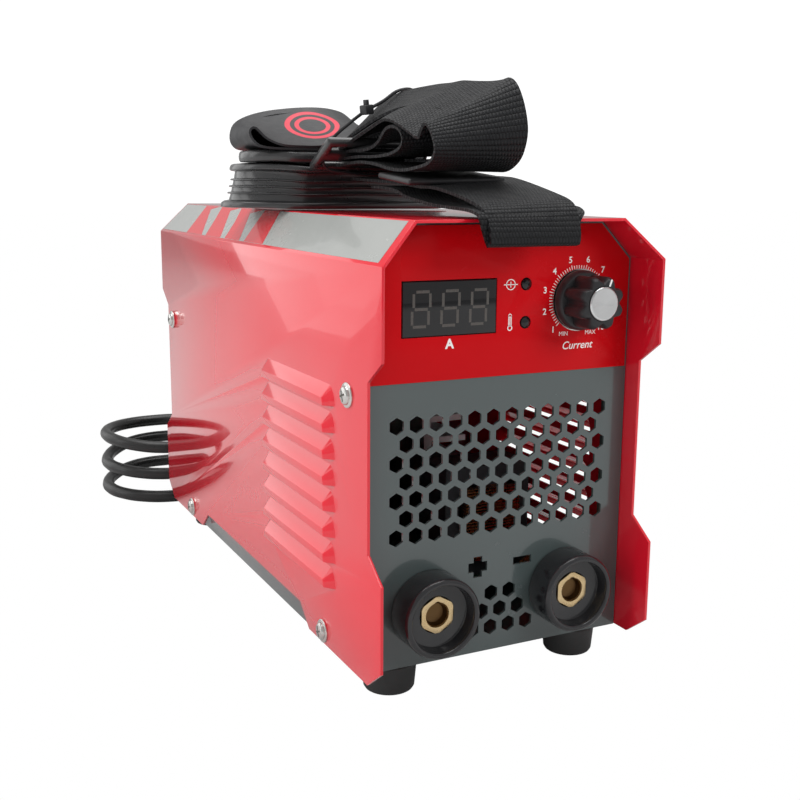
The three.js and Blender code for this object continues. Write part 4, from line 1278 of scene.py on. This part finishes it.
# %% Printed rings
def rings_group(centre, bands):
    group, _, end = new_group("printed_rings", [], [("Mask", "NodeSocketFloat")])
    flat = add(group, "ShaderNodeSeparateXYZ", vector=group.nodes.new("ShaderNodeUVMap").outputs["UV"])
    sides = [math_node(group, "SUBTRACT", flat.outputs[axis], middle) for axis, middle in zip("XY", centre)]
    squares = [math_node(group, "MULTIPLY", side, side) for side in sides]
    radius = math_node(group, "SQRT", math_node(group, "ADD", *squares))
    masks = []
    for middle, half in bands:
        off = math_node(group, "ABSOLUTE", math_node(group, "SUBTRACT", radius, middle))
        masks.append(spread(group, off, 1.0, 0.0, half - 0.1 * MM, half + 0.1 * MM))
    group.links.new(math_node(group, "MAXIMUM", *masks), end.inputs["Mask"])
    return group


def printed_band():
    material, tree, shader, _ = finish("printed_band", ((0.010, 0.010, 0.012), (0.020, 0.020, 0.022)),
                                         (0.42, 0.60), grain=(1100.0, 0.35, 0.0002), dust=0.03)
    rings = tree.nodes.new("ShaderNodeGroup")
    rings.node_tree = rings_group((0.021, 0.117), ((12.2 * MM, 1.3 * MM), (7.6 * MM, 1.1 * MM)))
    ink = tree.nodes.new("ShaderNodeMix")
    ink.data_type = "RGBA"
    ink.inputs["B"].default_value = (0.62, 0.03, 0.06, 1)
    tree.links.new(shader.inputs["Base Color"].links[0].from_socket, ink.inputs["A"])
    tree.links.new(rings.outputs["Mask"], ink.inputs["Factor"])
    tree.links.new(ink.outputs["Result"], shader.inputs["Base Color"])
    return material


part_of(flap, "printed_flap", "root", "webbing", printed_band(), "strap_loop")
print("rings printed on the flap")

# %% [markdown]
# Each length of cloth gets the webbing finish and rides on the root.

# %% The strap's sheets
for cloth in (outer_turn, inner_turn, middle_turn, rear_turn, tail, lining):
    part_of(cloth, cloth.name, "root", "webbing", black_webbing)
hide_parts("strap_bundle")
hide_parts("strap_tail")

# %% [markdown]
# ### Shoulder pad
# The pad is a soft moulding with a thick rail round its top and bottom edge and three thin ribs between.
# Its outline starts as a circle pulled out into a long oval; then each rail and rib is a few extrudes up,
# each with a change of size.

# %% Oval mouldings
def oval(steps, half_long, half_wide, sides=96):
    """A closed oval moulding from (outwards, height) steps in millimetres."""
    clear_selection()
    bpy.ops.mesh.primitive_circle_add(vertices=sides, radius=half_wide * MM, fill_type="NGON")
    piece = bpy.context.object
    stretch = (half_long - half_wide) * MM
    for vertex in piece.data.vertices:
        vertex.co.x += math.copysign(stretch, vertex.co.x) if abs(vertex.co.x) > 1e-6 else 0
    edit(piece)
    bpy.ops.transform.translate(value=(0, 0, steps[0][1] * MM))
    out, height = steps[0]
    bpy.ops.transform.resize(value=((half_long + out) / half_long, (half_wide + out) / half_wide, 1),
                             center_override=(0, 0, 0))
    for wider, further in steps[1:]:
        bpy.ops.mesh.extrude_region_move(TRANSFORM_OT_translate={"value": (0, 0, (further - height) * MM)})
        bpy.ops.transform.resize(value=((half_long + wider) / (half_long + out),
                                        (half_wide + wider) / (half_wide + out), 1),
                                 center_override=(0, 0, 0))
        out, height = wider, further
    bpy.ops.mesh.select_all(action="SELECT")
    bpy.ops.mesh.normals_make_consistent(inside=False)
    leave_edit()
    return piece


print("oval maker ready")

# %% [markdown]
# The whole moulding is waved a little, and its lower left end pulled out, since it has lain packed in a
# box. Waving is a move of every vertex, by a sine of its place along the pad.

# %% Ribbed pad
pad_low, pad_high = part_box("shoulder_pad")
pad_steps = [(-1.6, 0.0), (-0.3, 0.3), (0, 1.2), (-0.1, 2.4), (-1.0, 3.1), (-2.8, 3.4)]
for rib in (6.6, 9.6, 12.6):
    pad_steps += [(-3.0, rib - 0.5), (-1.7, rib - 0.35), (-1.5, rib), (-1.7, rib + 0.35), (-3.0, rib + 0.5)]
pad_steps += [(-2.8, 16.2), (-1.0, 16.5), (-0.1, 17.2), (0, 18.4), (-0.3, 19.3), (-1.4, 19.7), (-6, 20.0)]
pad = oval(pad_steps, (pad_high[0] - pad_low[0]) / 2 / MM, (pad_high[1] - pad_low[1]) / 2 / MM)
pad_middle = middle_of(pad_low, pad_high)
for vertex in pad.data.vertices:
    place = vertex.co.x / MM
    up = vertex.co.z / MM
    vertex.co.z += 0.7 * math.sin(place / 9.0 + 0.6) * (0.25 + up / 22) * MM
    if place < 0:
        vertex.co.x -= (1 - up / 20) * 6.0 * (place / 55) ** 2 * MM
settle(pad, (pad_middle[0], pad_middle[1], pad_low[2] + 0.5 * MM))
soften(pad, 0.25, limit=40)
pad_moulding = plain("pad_moulding", ((0.014, 0.014, 0.015), (0.026, 0.026, 0.027)), (0.24, 0.38),
                     specular=0.7, grain=(600.0, 0.12, 0.0002), coat=0.6,
                     coat_roughness=0.12, dust=0.02)
part_of(pad, "ribbed_pad", "root", "black_rubber", pad_moulding, "shoulder_pad")
print("pad of", len(pad.data.polygons), "faces")

# %% [markdown]
# ### Slides and tie
# Two moulded slides adjust the strap. Each is a flat plate with rounded edges: a plain one lies under the
# bundle, and the other, with two windows for the cloth, is tipped up beside the pad. Under the flap, on
# top of the pad, lies a second, thinner moulded band.

# %% Band and slides
def slide(long, deep, thick, window=None):
    piece = block((-long * MM / 2, -deep * MM / 2, -thick * MM / 2),
                  (long * MM / 2, deep * MM / 2, thick * MM / 2))
    if window:
        for side in (-1, 1):
            gap = block((-window[0] * MM / 2, side * deep * MM / 4 - window[1] * MM / 2, -0.01),
                        (window[0] * MM / 2, side * deep * MM / 4 + window[1] * MM / 2, 0.01))
            modify_cut(piece, gap)
    soften(piece, thick * 0.42, segments=4, limit=50)
    return piece


band_steps = [(-1.8, 0.0), (-0.6, 0.2), (0, 1.0), (0.2, 2.6), (0, 4.2), (-0.6, 5.0), (-1.8, 5.3), (-6, 5.4)]
band = oval(band_steps, 37, 20.5)
for vertex in band.data.vertices:
    vertex.co.z += 0.5 * math.sin(vertex.co.x / MM / 6.0) * MM
settle(band, spot(-26, 151, 211.0))
smooth(band, 50)
part_of(band, "padded_band", "root", "black_rubber", pad_moulding)
under_slide = settle(slide(44, 29, 2.5), spot(-9, 56.5, 204.6), (5.5, -1.5, 0))
part_of(under_slide, "under_slide", "root", "black_plastic", satin_black, "strap_buckle")
side_slide = settle(slide(48, 25, 4.0, window=(40, 5.6)), spot(-17.5, 110, 214.6), (-27, 0, 0))
part_of(side_slide, "side_slide", "root", "black_plastic", pad_moulding)
print("band and two slides in place")

# %% [markdown]
# A nylon tie holds the folds together. Its band is a thin round cable along a loop of points over the
# folds, made a mesh at once, and its head and cut end are two small blocks.

# %% Tie on the bundle
tie_route = [spot(*point) for point in
             ((-19.5, 108, 233.6), (-26, 110, 228.4), (-33.4, 113, 221.2), (-36.4, 116, 214.8),
              (-35, 118, 209.6), (-24, 119, 206.8), (0, 119, 206.8), (12, 117, 210.0), (14.4, 113, 220.0),
              (12, 111, 232.0), (5, 108, 242.6), (-3, 107, 243.0), (-12, 107, 237.6), (-19.5, 108, 233.6))]
tie_band = cable("tie_band", tie_route, 0.75 * MM)
pick(tie_band)
bpy.ops.object.convert(target="MESH")
tie_head = block((-2.5 * MM, -2.2 * MM, -2.0 * MM), (2.5 * MM, 2.2 * MM, 2.2 * MM))
soften(tie_head, 0.6)
tie_end = block((-0.8 * MM, -1.1 * MM, 2.0 * MM), (0.8 * MM, 1.1 * MM, 4.4 * MM))
soften(tie_end, 0.2)
settle(joined("tie_head", tie_head, tie_end), spot(-19.4, 107, 233.8), (0, -8, 20))
part_of(joined("bundle_tie", tie_head, tie_band), "bundle_tie", "root", "black_plastic", satin_black,
        "zip_tie")
print("strap folded and tied")

# %% [markdown]
# ## Printed film on the shoulders
# Each slanting shoulder of the cover carries a strip of printed film: plain grey, with a red field near
# the back that three narrow grey wedges cut into. A film is drawn as flat outlines, s along the machine
# and t up the slope, then laid on the slope and given its thickness. The red prints lie over the grey.

# %% Film outlines
slope_foot, slope_side = 173.5, 62.5


def film(outline, side, lift, thick=0.05):
    clear_selection()
    bpy.ops.mesh.primitive_circle_add(vertices=len(outline), radius=1, fill_type="NGON")
    piece = bpy.context.object
    for vertex, (s, t) in zip(piece.data.vertices, outline):
        rise = t / math.sqrt(2)
        out = lift / math.sqrt(2)
        vertex.co = spot(side * (slope_side - rise + out), s, slope_foot + rise + out)
    face_out(piece)
    modify(piece, "SOLIDIFY", thickness=thick * MM, offset=0)
    face_out(piece)
    return piece


grey_outline = [(5.4, 1.6), (305, 1.6), (302.4, 21.8), (10.2, 21.8)]
red_fields = [[(254, 1.7), (225, 1.7), (249, 19.5), (238, 21.7), (262, 21.7)],
              [(218, 1.7), (192, 1.7), (214, 19.5), (204, 21.7), (233, 21.7), (226, 13)],
              [(185, 1.7), (162, 1.7), (181, 19.0), (168, 21.7), (200, 21.7), (192, 13)],
              [(155, 1.7), (128.5, 1.7), (143, 21.7), (164, 21.7), (160, 12)]]
films, prints = [], []
for side in (-1, 1):
    films.append(film(grey_outline, side, 0.06))
    prints += [film(field, side, 0.11) for field in red_fields]
part_of(joined("shoulder_film", *films), "shoulder_film", "root", "red_label_film", grey_print)
part_of(joined("shoulder_print", *prints), "shoulder_print", "root", "red_label_film", red_print)
print("two strips of film laid on the shoulders")

# %% [markdown]
# ## Finishing
# The selection is cleared and the view layer is brought up to date.

# %% Finish
clear_selection()
bpy.context.view_layer.update()
